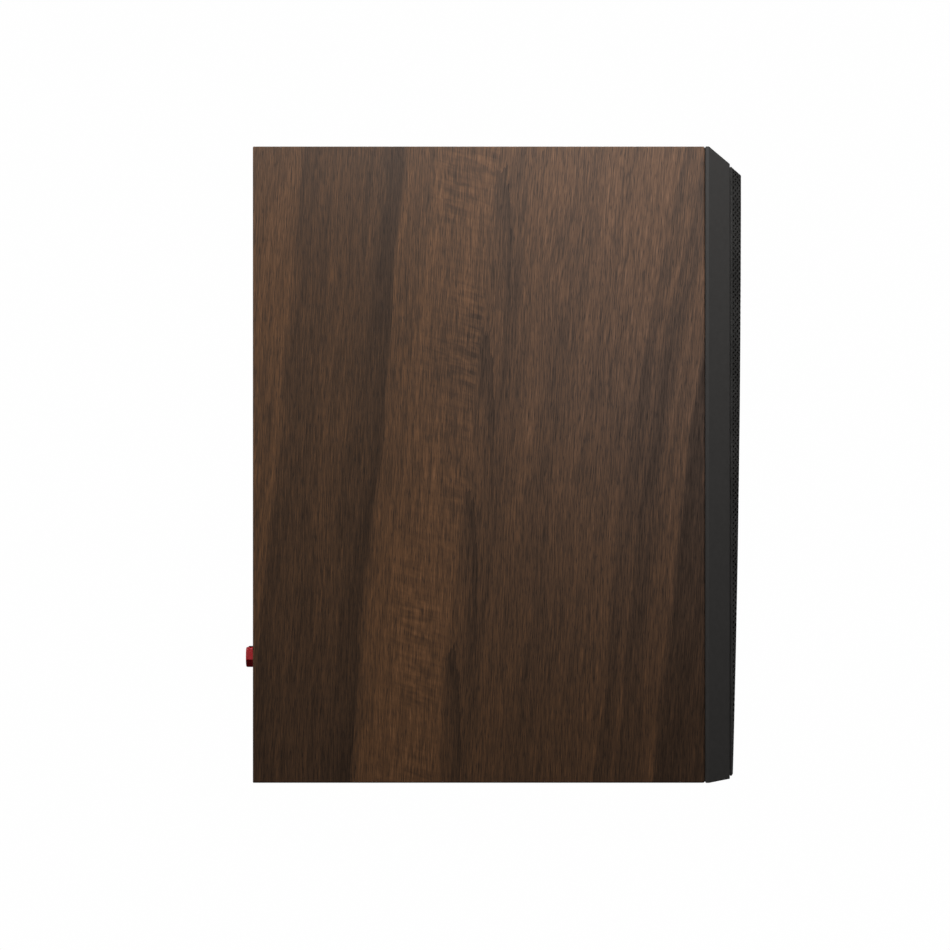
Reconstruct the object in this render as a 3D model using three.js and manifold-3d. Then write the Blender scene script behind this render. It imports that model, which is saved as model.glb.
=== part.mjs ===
// A two-way bookshelf speaker: vinyl-wrapped cabinet, chamfered baffle, woofer, tweeter, crossover,
// binding posts and a magnetic perforated grille.
//
// Millimetres, +Z up. The front faces -Y and +X is on the right as the listener sees it. While the pieces
// are made, y = 0 is the plane where the baffle meets the cabinet. The whole group then moves along Y so
// that its box is centred over the origin.

import * as THREE from 'three';
import { mergeVertices } from 'three/addons/utils/BufferGeometryUtils.js';
import Module from 'manifold-3d';

const wasm = await Module();
wasm.setup();

// Driving dimensions.

const WIDTH = 190;
const HEIGHT = 320;
const CABINET_DEPTH = 227.3;
const BOARD = 15;
const REBATE = 9;                       // the back panel's seat, cut into the boards' inner edges
const GROOVE = { inset: 0.75, depth: 0.5 };     // each side of the V groove round the joint plane
const GAP = 0.3;                        // clearance left round a piece that sits in a cut

const BAFFLE = {
  strip: 2,                             // square rim next to the cabinet
  depth: 13,                            // rim and chamfer together
  chamferTop: 8.2,
  chamferBottom: 1.5,
  chamferSide: 7,
  tongue: 8,                            // the part that sits inside the cabinet
};

const GRILLE = {
  margin: 1.35,                         // from the baffle's face edge to the grille
  edge: 1,                              // height of the outer edge over the baffle
  rise: 6.6,                            // height at the top of the front
  fall: 4.75,                           // how much lower the front is at the bottom
  facetSide: 10.2,
  facetTop: 3.45,
  facetBottom: 0.8,
  sheet: 0.8,
  frameInset: 3,                        // from the grille's edge to the plastic frame under it
  frameWidth: 8,
};
const GRILLE_MAGNET = { radius: 4, height: 2.5, fromSide: 6, fromEnd: 7.5 };

const WOOFER = { z: 102, flange: 75, recess: 9, hole: 63.5, screwCircle: 70.5 };
const TWEETER = { z: 240, flange: 52, recess: 4, hole: 38, screwCircle: 46.5 };

const BRACE = { z: 184, board: 12, front: 22, back: 205, window: 62, windowLength: 140 };
const PORT = { z: 236, bore: 25, wall: 2.5, length: 120, flare: 12, flange: 41, proud: 3 };
const CUP = {
  z: 59,
  width: 84,
  height: 64,
  flange: 2.5,
  pocketWidth: 60,
  pocketHeight: 42,
  depth: 14,                            // from the rear face to the cup's floor
  wall: 2.5,
};
// The posts stand 19.05 mm apart, which suits a double banana plug.
const POST = { spacing: 19.05, shaft: 3, socket: 2.05, hex: 5.5, nut: 5, capOut: 8.7 };
const BOARD_PCB = { width: 100, front: 110, back: 190, underside: 20, thickness: 1.6 };

const REAR = CABINET_DEPTH;
const FACE = -BAFFLE.depth;
const FRONT = FACE - GRILLE.rise;
const FACE_RECT = {
  left: -WIDTH / 2 + BAFFLE.chamferSide,
  right: WIDTH / 2 - BAFFLE.chamferSide,
  low: BAFFLE.chamferBottom,
  high: HEIGHT - BAFFLE.chamferTop,
};
const LARGE = 32;                       // segments round the woofer and the waveguide
const MEDIUM = 24;
const SMALL = 16;

// Materials.

function material(color, roughness, metalness = 0) {
  return new THREE.MeshStandardMaterial({ color, roughness, metalness });
}

const walnut = material(0x5a4030, 0.5);
const baffleBlack = material(0x33312f, 0.55);
const plasticBlack = material(0x1c1c1c, 0.5);
const fibreboard = material(0x8a6a48, 0.9);
const felt = material(0x6b6b68, 1);
const steel = material(0x9a9a98, 0.35, 1);
const zincSteel = material(0xb0aea4, 0.4, 1);
const ferrite = material(0x2a2a2c, 0.7);
const brass = material(0xb08d57, 0.3, 1);
const copper = material(0xb06a3a, 0.35, 1);
const paper = material(0x1e1e20, 0.85);
const rubber = material(0x151515, 0.7);
const spiderCloth = material(0xc89a4a, 0.9);
const silk = material(0x121214, 0.6);
const grilleBlack = material(0x2b2b2b, 0.5, 0.6);
const redPlastic = material(0xaf222f, 0.3);
const circuitGreen = material(0x2f5d3a, 0.5);
const whiteCeramic = material(0xd8d6cc, 0.7);
const cableJacket = material(0x3a3a3c, 0.6);

// Geometry helpers.

/** A closed geometry as a manifold-3d solid. */
function solid(geometry) {
  const bare = geometry.clone();
  bare.deleteAttribute('normal');
  bare.deleteAttribute('uv');
  const merged = mergeVertices(bare, 1e-4);
  const corners = merged.index.array;
  const kept = [];
  for (let i = 0; i < corners.length; i += 3) {
    const [a, b, c] = corners.slice(i, i + 3);
    if (a !== b && b !== c && c !== a) kept.push(a, b, c);
  }
  return new wasm.Manifold(new wasm.Mesh({
    numProp: 3,
    vertProperties: new Float32Array(merged.attributes.position.array),
    triVerts: new Uint32Array(kept),
  }));
}

/** The geometry of a manifold-3d solid. */
function geometryOf(body) {
  const mesh = body.getMesh();
  const geometry = new THREE.BufferGeometry();
  geometry.setAttribute('position', new THREE.BufferAttribute(mesh.vertProperties, 3));
  geometry.setIndex(new THREE.BufferAttribute(mesh.triVerts, 1));
  return geometry;
}

/** One solid with others cut from it, all given as geometries. */
function cut(geometry, ...cutters) {
  return geometryOf(cutters.reduce((body, cutter) => body.subtract(solid(cutter)), solid(geometry)));
}

/** Several touching or overlapping geometries as one. */
function join(...geometries) {
  return geometryOf(geometries.map(solid).reduce((body, next) => body.add(next)));
}

/** What two geometries have in common. */
function common(one, other) {
  return geometryOf(solid(one).intersect(solid(other)));
}

/** A box between two corners. */
function box([x0, y0, z0], [x1, y1, z1]) {
  const geometry = new THREE.BoxGeometry(x1 - x0, y1 - y0, z1 - z0);
  return geometry.translate((x0 + x1) / 2, (y0 + y1) / 2, (z0 + z1) / 2);
}

/** A solid of revolution round the Y axis from a closed outline of [radius, y] points. */
function turned(outline, segments = MEDIUM) {
  let points = outline.map(([radius, y]) => new THREE.Vector2(radius, y));
  if (THREE.ShapeUtils.area(points) < 0) points = points.reverse();
  const start = points.findIndex((point, i) => point.x < 1e-9 && points.at(i - 1).x < 1e-9);
  if (start < 0) {
    points.push(points[0].clone());     // a ring: the outline closes on itself
  } else {
    points = [...points.slice(start), ...points.slice(0, start)];
  }
  return new THREE.LatheGeometry(points, segments);
}

/** A round cutter or pin along Y. */
function rod(radius, y0, y1, x = 0, z = 0, segments = SMALL) {
  return new THREE.CylinderGeometry(radius, radius, y1 - y0, segments).translate(x, (y0 + y1) / 2, z);
}

function extruded(shape, depth) {
  return new THREE.ExtrudeGeometry(shape, { depth, bevelEnabled: false, curveSegments: 4 });
}

/** A shape of [x, z] extruded along Y. */
function slabY(shape, y0, y1) {
  return extruded(shape, y1 - y0).rotateX(Math.PI / 2).translate(0, y1, 0);
}

/** A shape of [x, y] extruded along Z. */
function slabZ(shape, z0, z1) {
  return extruded(shape, z1 - z0).translate(0, 0, z0);
}

/** A shape of [y, z] extruded along X. */
function slabX(shape, x0, x1) {
  const turn = new THREE.Matrix4().makeBasis(
    new THREE.Vector3(0, 1, 0), new THREE.Vector3(0, 0, 1), new THREE.Vector3(1, 0, 0));
  return extruded(shape, x1 - x0).applyMatrix4(turn).translate(x0, 0, 0);
}

/** A shape from its corner points. */
function polygon(corners) {
  return new THREE.Shape(corners.map(([a, b]) => new THREE.Vector2(a, b)));
}

/** A rectangle round (x, z) with rounded corners. */
function roundedRect(width, height, radius, x = 0, z = 0) {
  const [left, right] = [x - width / 2, x + width / 2];
  const [low, high] = [z - height / 2, z + height / 2];
  const shape = new THREE.Shape();
  shape.moveTo(left + radius, low);
  shape.lineTo(right - radius, low);
  shape.absarc(right - radius, low + radius, radius, -Math.PI / 2, 0);
  shape.lineTo(right, high - radius);
  shape.absarc(right - radius, high - radius, radius, 0, Math.PI / 2);
  shape.lineTo(left + radius, high);
  shape.absarc(left + radius, high - radius, radius, Math.PI / 2, Math.PI);
  shape.lineTo(left, low + radius);
  shape.absarc(left + radius, low + radius, radius, Math.PI, Math.PI * 1.5);
  return shape;
}

/** A solid through a stack of rectangles { y, left, right, low, high }, listed with y increasing. */
function loft(sections) {
  const positions = sections.flatMap(({ y, left, right, low, high }) => [
    left, y, low, right, y, low, right, y, high, left, y, high,
  ]);
  const corners = [0, 1, 2, 0, 2, 3];
  for (let i = 0; i < sections.length - 1; i++) {
    for (let k = 0; k < 4; k++) {
      const [a, b] = [4 * i + k, 4 * i + (k + 1) % 4];
      corners.push(a, a + 4, b + 4, a, b + 4, b);
    }
  }
  const last = 4 * (sections.length - 1);
  corners.push(last, last + 2, last + 1, last, last + 3, last + 2);
  const geometry = new THREE.BufferGeometry();
  geometry.setAttribute('position', new THREE.Float32BufferAttribute(positions, 3));
  geometry.setIndex(corners);
  return geometry;
}

/** Points of a quarter or half ellipse in [radius, y], from one angle to another in degrees. */
function arc([centreRadius, centreY], [across, along], from, to, steps) {
  return Array.from({ length: steps + 1 }, (_, i) => {
    const angle = THREE.MathUtils.degToRad(from + (to - from) * i / steps);
    return [centreRadius + across * Math.cos(angle), centreY + along * Math.sin(angle)];
  });
}

/** Positions [x, z] spaced evenly on a circle round (0, z). */
function onCircle(radius, z, count, startDegrees) {
  return Array.from({ length: count }, (_, i) => {
    const angle = THREE.MathUtils.degToRad(startDegrees + 360 * i / count);
    return [radius * Math.cos(angle), z + radius * Math.sin(angle)];
  });
}

// The finished object and its groups.

const speaker = new THREE.Group();
speaker.position.y = -(REAR + POST.capOut + FRONT) / 2;

function group(x = 0, z = 0) {
  const made = new THREE.Group();
  made.position.set(x, 0, z);
  speaker.add(made);
  return made;
}

function add(parent, name, geometry, look) {
  const mesh = new THREE.Mesh(geometry, look);
  mesh.name = name;
  parent.add(mesh);
}

// Cabinet.

const outer = { left: -WIDTH / 2, right: WIDTH / 2, low: 0, high: HEIGHT };

function shrunk(rect, by) {
  return { left: rect.left + by, right: rect.right - by, low: rect.low + by, high: rect.high - by };
}

/** The folded wrap of four boards, before it is divided at the mitres. */
function cabinetWrap() {
  const block = loft([
    { y: 0, ...shrunk(outer, GROOVE.inset) },
    { y: GROOVE.depth, ...outer },
    { y: REAR, ...outer },
  ]);
  const inside = shrunk(outer, BOARD);
  const seat = shrunk(outer, BOARD - REBATE);
  return cut(
    block,
    box([inside.left, -1, inside.low], [inside.right, REAR + 1, inside.high]),
    box([seat.left, REAR - BOARD, seat.low], [seat.right, REAR + 1, seat.high]),
  );
}

function addCabinet() {
  const parent = group();
  const wrap = cabinetWrap();
  const inside = shrunk(outer, BOARD);
  const corner = (rect, side, end) => [rect[side], rect[end]];
  const mitred = (...places) => places.flatMap(([side, end], i) => {
    const pair = [corner(outer, side, end), corner(inside, side, end)];
    return i ? pair.reverse() : pair;
  });
  const mitres = {
    side_panel_left: mitred(['left', 'low'], ['left', 'high']),
    side_panel_right: mitred(['right', 'low'], ['right', 'high']),
    top_panel: mitred(['left', 'high'], ['right', 'high']),
    bottom_panel: mitred(['left', 'low'], ['right', 'low']),
  };
  for (const [name, corners] of Object.entries(mitres)) {
    add(parent, name, common(wrap, slabY(polygon(corners), -1, REAR + 1)), walnut);
  }

  const back = shrunk(outer, BOARD - REBATE + GAP);
  const panel = box([back.left, REAR - BOARD, back.low], [back.right, REAR, back.high]);
  const portHole = rod(PORT.bore + PORT.wall + GAP, REAR - BOARD - 1, REAR + 1, 0, PORT.z, MEDIUM);
  const tub = { width: CUP.pocketWidth + 2 * CUP.wall, height: CUP.pocketHeight + 2 * CUP.wall };
  const cupHole = box(
    [-tub.width / 2 - GAP, REAR - BOARD - 1, CUP.z - tub.height / 2 - GAP],
    [tub.width / 2 + GAP, REAR + 1, CUP.z + tub.height / 2 + GAP],
  );
  add(parent, 'back_panel', cut(panel, portHole, cupHole), walnut);

  const half = inside.right - GAP;
  const [braceLow, braceHigh] = [BRACE.z - BRACE.board / 2, BRACE.z + BRACE.board / 2];
  const windowFront = (BRACE.front + BRACE.back - BRACE.windowLength) / 2;
  const windows = [-1, 1].map((side) => {
    const middle = side * (6 + BRACE.window / 2);
    return box(
      [middle - BRACE.window / 2, windowFront, braceLow - 1],
      [middle + BRACE.window / 2, windowFront + BRACE.windowLength, braceHigh + 1],
    );
  });
  const brace = box([-half, BRACE.front, braceLow], [half, BRACE.back, braceHigh]);
  add(parent, 'window_brace', cut(brace, ...windows), fibreboard);

  const lining = { outer: half, inner: half - 10, foot: braceHigh + GAP, top: inside.high - GAP };
  const felted = polygon([
    [-lining.outer, lining.foot], [-lining.inner, lining.foot], [-lining.inner, lining.top - 10],
    [lining.inner, lining.top - 10], [lining.inner, lining.foot], [lining.outer, lining.foot],
    [lining.outer, lining.top], [-lining.outer, lining.top],
  ]);
  add(parent, 'damping_lining', slabY(felted, 30, 190), felt);
}

function addPort() {
  const parent = group(0, PORT.z);
  const [mouth, end] = [REAR + PORT.proud, REAR + PORT.proud - PORT.length];
  const [wall, flare] = [PORT.bore + PORT.wall, PORT.flare];
  const outline = [
    ...arc([PORT.bore + flare, mouth - flare * 1.5], [-flare, flare * 1.5], 0, 90, 3).reverse(),
    ...arc([PORT.bore + flare / 2, end + flare], [-flare / 2, -flare], 0, 90, 2),
    [wall + flare / 2, end],
    [wall, end + flare],
    [wall, REAR],
    [PORT.flange, REAR],
    [PORT.flange, mouth],
  ];
  add(parent, 'port_tube', turned(outline, SMALL), plasticBlack);
}

// Front baffle.

function magnetSpots() {
  const x = FACE_RECT.right - GRILLE_MAGNET.fromSide;
  const [low, high] = [FACE_RECT.low + GRILLE_MAGNET.fromEnd, FACE_RECT.high - GRILLE_MAGNET.fromEnd];
  return [[-x, high], [x, high], [-x, low], [x, low]];
}

function screwHoles(driver, radius, count, startDegrees) {
  return onCircle(driver.screwCircle, driver.z, count, startDegrees)
    .map(([x, z]) => rod(radius, FACE - 1, BAFFLE.tongue + 1, x, z, 8));
}

function addBaffle() {
  const parent = group();
  const block = loft([
    { y: FACE, ...FACE_RECT },
    { y: -BAFFLE.strip, ...outer },
    { y: -GROOVE.depth, ...outer },
    { y: 0, ...shrunk(outer, GROOVE.inset) },
  ]);
  const inside = shrunk(outer, BOARD + GAP);
  const tongue = box([inside.left, -1, inside.low], [inside.right, BAFFLE.tongue, inside.high]);
  const drivers = [WOOFER, TWEETER].flatMap((driver) => [
    rod(driver.flange + GAP, FACE - 1, FACE + driver.recess, 0, driver.z, LARGE),
    rod(driver.hole, FACE - 1, BAFFLE.tongue + 1, 0, driver.z, LARGE),
  ]);
  const pockets = magnetSpots().map(([x, z]) => rod(
    GRILLE_MAGNET.radius + GAP, FACE - 1, FACE + GRILLE_MAGNET.height + GAP, x, z, SMALL));
  add(parent, 'front_baffle', cut(
    join(block, tongue),
    ...drivers,
    ...pockets,
    ...screwHoles(WOOFER, 2.2, 4, 45),
    ...screwHoles(TWEETER, 2, 4, 45),
  ), baffleBlack);
  magnetSpots().forEach(([x, z], i) => {
    const disc = rod(GRILLE_MAGNET.radius, FACE + GAP, FACE + GAP + GRILLE_MAGNET.height, x, z, SMALL);
    add(parent, `grille_magnet_${i + 1}`, disc, zincSteel);
  });
}

// Grille.

/**
 * The space under the grille's front, less a skin of the given thickness: a front that falls back along
 * a circular arc from top to bottom, with a sloping facet along each edge. It reaches back to y = base.
 */
function grilleSpace(skin, base) {
  const edge = shrunk(FACE_RECT, GRILLE.margin + skin);
  const y = (height) => FACE - height + skin;
  const from = edge.high - GRILLE.facetTop;
  const to = edge.low + GRILLE.facetBottom;
  const steps = 12;
  const front = Array.from({ length: steps + 1 }, (_, i) => {
    const share = i / steps;
    return [y(GRILLE.rise - GRILLE.fall * share ** 2), from + (to - from) * share];
  });
  const side = polygon([
    [base, edge.low], [base, edge.high], [y(GRILLE.edge), edge.high], ...front, [y(GRILLE.edge), edge.low],
  ]);
  const plan = polygon([
    [edge.left, base], [edge.right, base], [edge.right, y(GRILLE.edge)],
    [edge.right - GRILLE.facetSide, y(GRILLE.rise)], [edge.left + GRILLE.facetSide, y(GRILLE.rise)],
    [edge.left, y(GRILLE.edge)],
  ]);
  return common(slabX(side, edge.left, edge.right), slabZ(plan, edge.low, edge.high));
}

function addGrille() {
  const parent = group();
  const back = FACE - GAP;
  const shell = cut(grilleSpace(0, back), grilleSpace(GRILLE.sheet, FACE + 1));
  add(parent, 'grille_mesh', shell, grilleBlack);

  const outside = shrunk(FACE_RECT, GRILLE.margin + GRILLE.frameInset);
  const hole = shrunk(outside, GRILLE.frameWidth);
  const blank = cut(
    box([outside.left, FRONT, outside.low], [outside.right, back, outside.high]),
    box([hole.left, FRONT - 1, hole.low], [hole.right, FACE, hole.high]),
  );
  add(parent, 'grille_frame', common(blank, grilleSpace(GRILLE.sheet + GAP / 3, FACE + 1)), plasticBlack);
}

// Woofer. Every outline is [radius, y], and y grows toward the back.

const SEAT = FACE + WOOFER.recess;      // where the woofer's gasket meets the baffle
const FLANGE_BACK = SEAT - 1;
const FLANGE_FRONT = FLANGE_BACK - 1.5;
const CONE_EDGE = FLANGE_FRONT - 0.8;   // the plane of the surround's two glued lips
const BASKET_END = SEAT + 43;

function wooferBasket() {
  const shell = turned([
    [75, FLANGE_FRONT], [61, FLANGE_FRONT], [45.2, SEAT + 32], [38, SEAT + 32], [37, BASKET_END - 1.5],
    [16.5, BASKET_END - 1.5], [16.5, BASKET_END], [38.3, BASKET_END], [39.5, SEAT + 33.5],
    [46.2, SEAT + 33.5], [62.2, FLANGE_BACK], [75, FLANGE_BACK],
  ], LARGE);
  const windows = Array.from({ length: 6 }, (_, i) => {
    const opening = box([30, SEAT + 5, -16], [80, SEAT + 28, 16]);
    return opening.rotateY(THREE.MathUtils.degToRad(60 * i));
  });
  const holes = onCircle(WOOFER.screwCircle, 0, 4, 45)
    .map(([x, z]) => rod(2.3, FLANGE_FRONT - 1, FLANGE_BACK + 1, x, z, 8));
  return cut(shell, ...windows, ...holes);
}

/** A corrugated disc: a zigzag from the voice coil's former out to the basket's ledge. */
function spiderOutline() {
  const [hub, rim, peaks, height, thickness] = [17, 39, 7, 1.5, 0.8];
  const middle = SEAT + 30.8;
  const wave = Array.from({ length: peaks }, (_, i) => {
    return [hub + (rim - hub) * i / (peaks - 1), middle + (i % 2 ? height : -height)];
  });
  const front = [[13.8, middle], ...wave, [44.6, middle]];
  const back = front.map(([radius, y]) => [radius, y + thickness]).reverse();
  return [...front, ...back];
}

function addWoofer() {
  const parent = group(0, WOOFER.z);
  add(parent, 'woofer_basket', wooferBasket(), steel);

  const gasket = turned([[74.7, SEAT], [74.7, SEAT - 1], [64, SEAT - 1], [64, SEAT]], LARGE);
  const screwSpots = onCircle(WOOFER.screwCircle, 0, 4, 45);
  const gasketHoles = screwSpots.map(([x, z]) => rod(2.3, SEAT - 2, SEAT + 1, x, z, 8));
  add(parent, 'woofer_gasket', cut(gasket, ...gasketHoles), rubber);

  const trimFront = FLANGE_FRONT - 2.5;
  const trim = turned([
    [75, FLANGE_FRONT], [66.5, FLANGE_FRONT], [66.5, CONE_EDGE - GAP], [62.2, CONE_EDGE - GAP],
    [62.8, trimFront], [74.2, trimFront], [75, trimFront + 0.8],
  ], LARGE);
  const headHoles = screwSpots.map(([x, z]) => rod(4.1, trimFront - 1, FLANGE_FRONT + 1, x, z, 12));
  add(parent, 'woofer_trim_ring', cut(trim, ...headHoles), plasticBlack);

  screwSpots.forEach(([x, z], i) => {
    const screw = turned([
      [0, SEAT + 12], [1.9, SEAT + 12], [1.9, FLANGE_FRONT], [3.8, FLANGE_FRONT],
      [3.8, FLANGE_FRONT - 1.4], [2.6, FLANGE_FRONT - 2.2], [0, FLANGE_FRONT - 2.2],
    ], 8);
    add(parent, `woofer_screw_${i + 1}`, screw.translate(x, 0, z), steel);
  });

  const [topPlate, magnet, yoke] = [BASKET_END, BASKET_END + 5, BASKET_END + 20];
  add(parent, 'woofer_top_plate', turned([
    [15.2, topPlate], [42, topPlate], [42, magnet], [15.2, magnet],
  ]), zincSteel);
  add(parent, 'woofer_magnet', turned([[22, magnet], [46, magnet], [46, yoke], [22, yoke]]), ferrite);
  add(parent, 'woofer_yoke', turned([
    [4, topPlate], [12.3, topPlate], [12.3, yoke], [42, yoke], [42, yoke + 4], [41, yoke + 5], [4, yoke + 5],
  ]), zincSteel);
  add(parent, 'woofer_terminal_strip', box([-9, SEAT + 13, -60], [9, SEAT + 25, -57]), fibreboard);

  const [neck, neckY, edge] = [13.8, SEAT + 17, 52.2];
  add(parent, 'woofer_cone', turned([
    [edge, FLANGE_FRONT + 0.3], [49, FLANGE_FRONT + 0.3], [30, SEAT + 9], [neck, neckY], [neck, neckY + 1.3],
    [31, SEAT + 10], [49.5, FLANGE_FRONT + 1.5], [edge, FLANGE_FRONT + 1.3],
  ], LARGE), paper);
  const capRadius = 20;
  const capDome = (radius, rise) => arc([0, SEAT + 12.2], [radius, -rise], 0, 90, 4);
  add(parent, 'woofer_dust_cap', turned([
    ...capDome(capRadius, 7), ...capDome(capRadius - 0.8, 6.2).reverse(),
  ]), paper);
  const roll = (across, along) => arc([57, CONE_EDGE], [across, -along], 0, 180, 5);
  add(parent, 'woofer_surround', turned([
    [66, FLANGE_FRONT], [66, CONE_EDGE], ...roll(4.6, 4), [49, CONE_EDGE], [49, FLANGE_FRONT],
    ...roll(3.8, 3.2).map(([radius, y]) => [radius, y + 0.8]).reverse(),
  ], LARGE), rubber);
  add(parent, 'woofer_spider', turned(spiderOutline()), spiderCloth);
  add(parent, 'voice_coil_former', turned([
    [13, neckY], [13.5, neckY], [13.5, BASKET_END + 9], [13, BASKET_END + 9],
  ]), brass);
  add(parent, 'woofer_voice_coil', turned([
    [13.8, BASKET_END - 4], [14.6, BASKET_END - 4], [14.6, BASKET_END + 8], [13.8, BASKET_END + 8],
  ]), copper);
}

// Tweeter.

function addTweeter() {
  const parent = group(0, TWEETER.z);
  const [seat, throat] = [FACE + TWEETER.recess, FACE + 14.5];
  const body = throat + 2;
  const horn = arc([41, throat], [-25.5, throat - FACE], -90, 0, 5);
  const plate = turned([
    [52, FACE], ...horn, [15.5, body], [36, body], [36, seat], [52, seat],
  ], LARGE);
  const spots = onCircle(TWEETER.screwCircle, 0, 4, 45);
  const holes = spots.flatMap(([x, z]) => [
    rod(1.9, FACE - 1, seat + 1, x, z, 8),
    rod(3.4, FACE - 1, FACE + 2.5, x, z, 12),
  ]);
  add(parent, 'tweeter_waveguide', cut(plate, ...holes), plasticBlack);
  spots.forEach(([x, z], i) => {
    const screw = turned([
      [0, seat + 12], [1.5, seat + 12], [1.5, FACE + 2.5], [3, FACE + 2.5], [3, FACE + 1.1],
      [2, FACE + 0.5], [0, FACE + 0.5],
    ], 8);
    add(parent, `tweeter_screw_${i + 1}`, screw.translate(x, 0, z), steel);
  });

  const [magnet, yoke] = [body + 4, body + 14];
  const pole = body + 1;
  add(parent, 'tweeter_top_plate', turned([
    [13.6, body], [34, body], [34, magnet], [13.6, magnet],
  ]), zincSteel);
  add(parent, 'tweeter_magnet', turned([[16, magnet], [36, magnet], [36, yoke], [16, yoke]]), ferrite);
  add(parent, 'tweeter_yoke', turned([
    [0, pole], [11.6, pole], [11.6, yoke], [34, yoke], [34, yoke + 4], [0, yoke + 4],
  ]), zincSteel);

  const rim = throat + 0.7;
  const dome = (radius, rise) => arc([0, rim], [radius, -rise], 0, 90, 4);
  add(parent, 'tweeter_dome', turned([
    [0, rim - 6], ...dome(12.2, 6).reverse().slice(1), [13.7, rim - 1.2], [15.2, rim], [15.2, rim + 0.5],
    [13.7, rim - 0.6], [12.4, rim + 0.5], [11.6, rim + 0.5], ...dome(11.6, 5.4).slice(1),
  ]), silk);
  add(parent, 'tweeter_voice_coil', turned([
    [12.1, rim + 0.8], [12.7, rim + 0.8], [12.7, body + 4], [12.1, body + 4],
  ]), copper);
}

// Terminal cup and binding posts.

const CUP_FLOOR = REAR - CUP.depth;

function addTerminalCup() {
  const parent = group();
  const tub = { width: CUP.pocketWidth + 2 * CUP.wall, height: CUP.pocketHeight + 2 * CUP.wall };
  const [floorBack, lip] = [CUP_FLOOR - CUP.wall, REAR + CUP.flange];
  const cup = join(
    slabY(roundedRect(CUP.width, CUP.height, 5, 0, CUP.z), REAR, lip),
    box(
      [-tub.width / 2, floorBack, CUP.z - tub.height / 2],
      [tub.width / 2, REAR + 1, CUP.z + tub.height / 2],
    ),
  );
  const pocket = slabY(roundedRect(CUP.pocketWidth, CUP.pocketHeight, 4, 0, CUP.z), CUP_FLOOR, lip + 1);
  const holes = [-1, 1].map((side) => rod(
    POST.shaft + GAP, floorBack - 1, CUP_FLOOR + 1, side * POST.spacing / 2, CUP.z));
  add(parent, 'terminal_cup', cut(cup, pocket, ...holes), plasticBlack);
}

/** A hexagonal prism along Y with one corner pointing to -X, turned down by some degrees. */
function hexagon(radius, y0, y1, turn) {
  return slabY(polygon(onCircle(radius, 0, 6, 180 + turn)), y0, y1);
}

function addPost(side, colour, look, turn) {
  const parent = group(side * POST.spacing / 2, CUP.z);
  const collar = CUP_FLOOR + 4;
  const [capStart, capEnd] = [collar + GAP, REAR + POST.capOut];
  const tip = capEnd - 3;

  const shaft = turned([
    [0, CUP_FLOOR - 14], [2.4, CUP_FLOOR - 14], [POST.shaft, CUP_FLOOR - 13], [POST.shaft, CUP_FLOOR],
    [6, CUP_FLOOR], [6, collar], [POST.shaft, collar], [POST.shaft, tip], [POST.socket, tip],
    [POST.socket, collar + 5.5], [0, collar + 5.5],
  ], SMALL);
  const wireHole = slabZ(polygon(onCircle(1.4, collar + 2.2, 10, 0)), -10, 10);
  add(parent, `${colour}_post`, cut(shaft, wireHole), brass);

  const nutFront = CUP_FLOOR - CUP.wall - GAP;
  const nut = cut(hexagon(POST.nut, nutFront - 3.5, nutFront, turn), rod(POST.shaft + GAP, 0, REAR));
  add(parent, `${colour}_post_nut`, nut, zincSteel);

  const inner = POST.shaft + GAP;
  add(parent, `${colour}_cap_insert`, turned([
    [inner, capStart + 0.5], [4.1, capStart + 0.5], [4.1, tip - 1.5], [inner, tip - 1.5],
  ], SMALL), brass);
  const blank = turned([
    [0, capStart], [POST.hex - 0.4, capStart], [POST.hex, capStart + 0.8], [POST.hex, capEnd - 0.6],
    [POST.hex - 0.6, capEnd], [0, capEnd],
  ], SMALL);
  const bores = [
    rod(4.4, capStart - 1, tip - 1.2),
    rod(inner, tip - 2, tip + GAP),
    rod(2.6, tip, capEnd + 1),
  ];
  add(parent, `${colour}_cap`, cut(common(hexagon(POST.hex, capStart, capEnd, turn), blank), ...bores), look);
}

// Crossover and internal cables.

function addCrossover() {
  const parent = group();
  const { width, front, back, underside, thickness } = BOARD_PCB;
  const top = underside + thickness;
  const board = box([-width / 2, front, underside], [width / 2, back, top]);
  const pegs = [[-1, front + 6], [1, front + 6], [-1, back - 6], [1, back - 6]].map(([side, y]) => (
    slabZ(polygon(onCircle(3, 0, 8, 0)), BOARD, underside + 0.5).translate(side * (width / 2 - 6), y, 0)
  ));
  add(parent, 'crossover_board', join(board, ...pegs), circuitGreen);

  const coil = (innerRadius, outerRadius, height, x, y) => turned([
    [innerRadius, 0], [outerRadius, 0], [outerRadius, height], [innerRadius, height],
  ], 24).rotateX(Math.PI / 2).translate(x, y, top + GAP);
  add(parent, 'woofer_inductor', coil(9, 20, 16, -24, 136), copper);
  add(parent, 'tweeter_inductor', coil(6, 13, 11, 30, 128), copper);

  const can = (radius, length, x, y) => rod(radius, -length / 2, length / 2, 0, 0, 16)
    .rotateZ(Math.PI / 2).translate(x, y, top + GAP + radius);
  add(parent, 'woofer_capacitor', can(9, 32, 24, 158), plasticBlack);
  add(parent, 'tweeter_capacitor', can(7, 26, 28, 180), whiteCeramic);
  add(parent, 'tweeter_resistor', box([-40, 168, top + GAP], [-10, 176, top + GAP + 8]), whiteCeramic);
}

/** A twin lead of oval section along a smooth curve through its points. */
function cable(points, width = 5, height = 2.6) {
  const route = new THREE.CatmullRomCurve3(points.map(([x, y, z]) => new THREE.Vector3(x, y, z)));
  const section = new THREE.Shape().absellipse(0, 0, width / 2, height / 2, 0, Math.PI * 2);
  const steps = Math.ceil(route.getLength() / (2.5 * width));
  return new THREE.ExtrudeGeometry(section, { extrudePath: route, steps, curveSegments: 4 });
}

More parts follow.
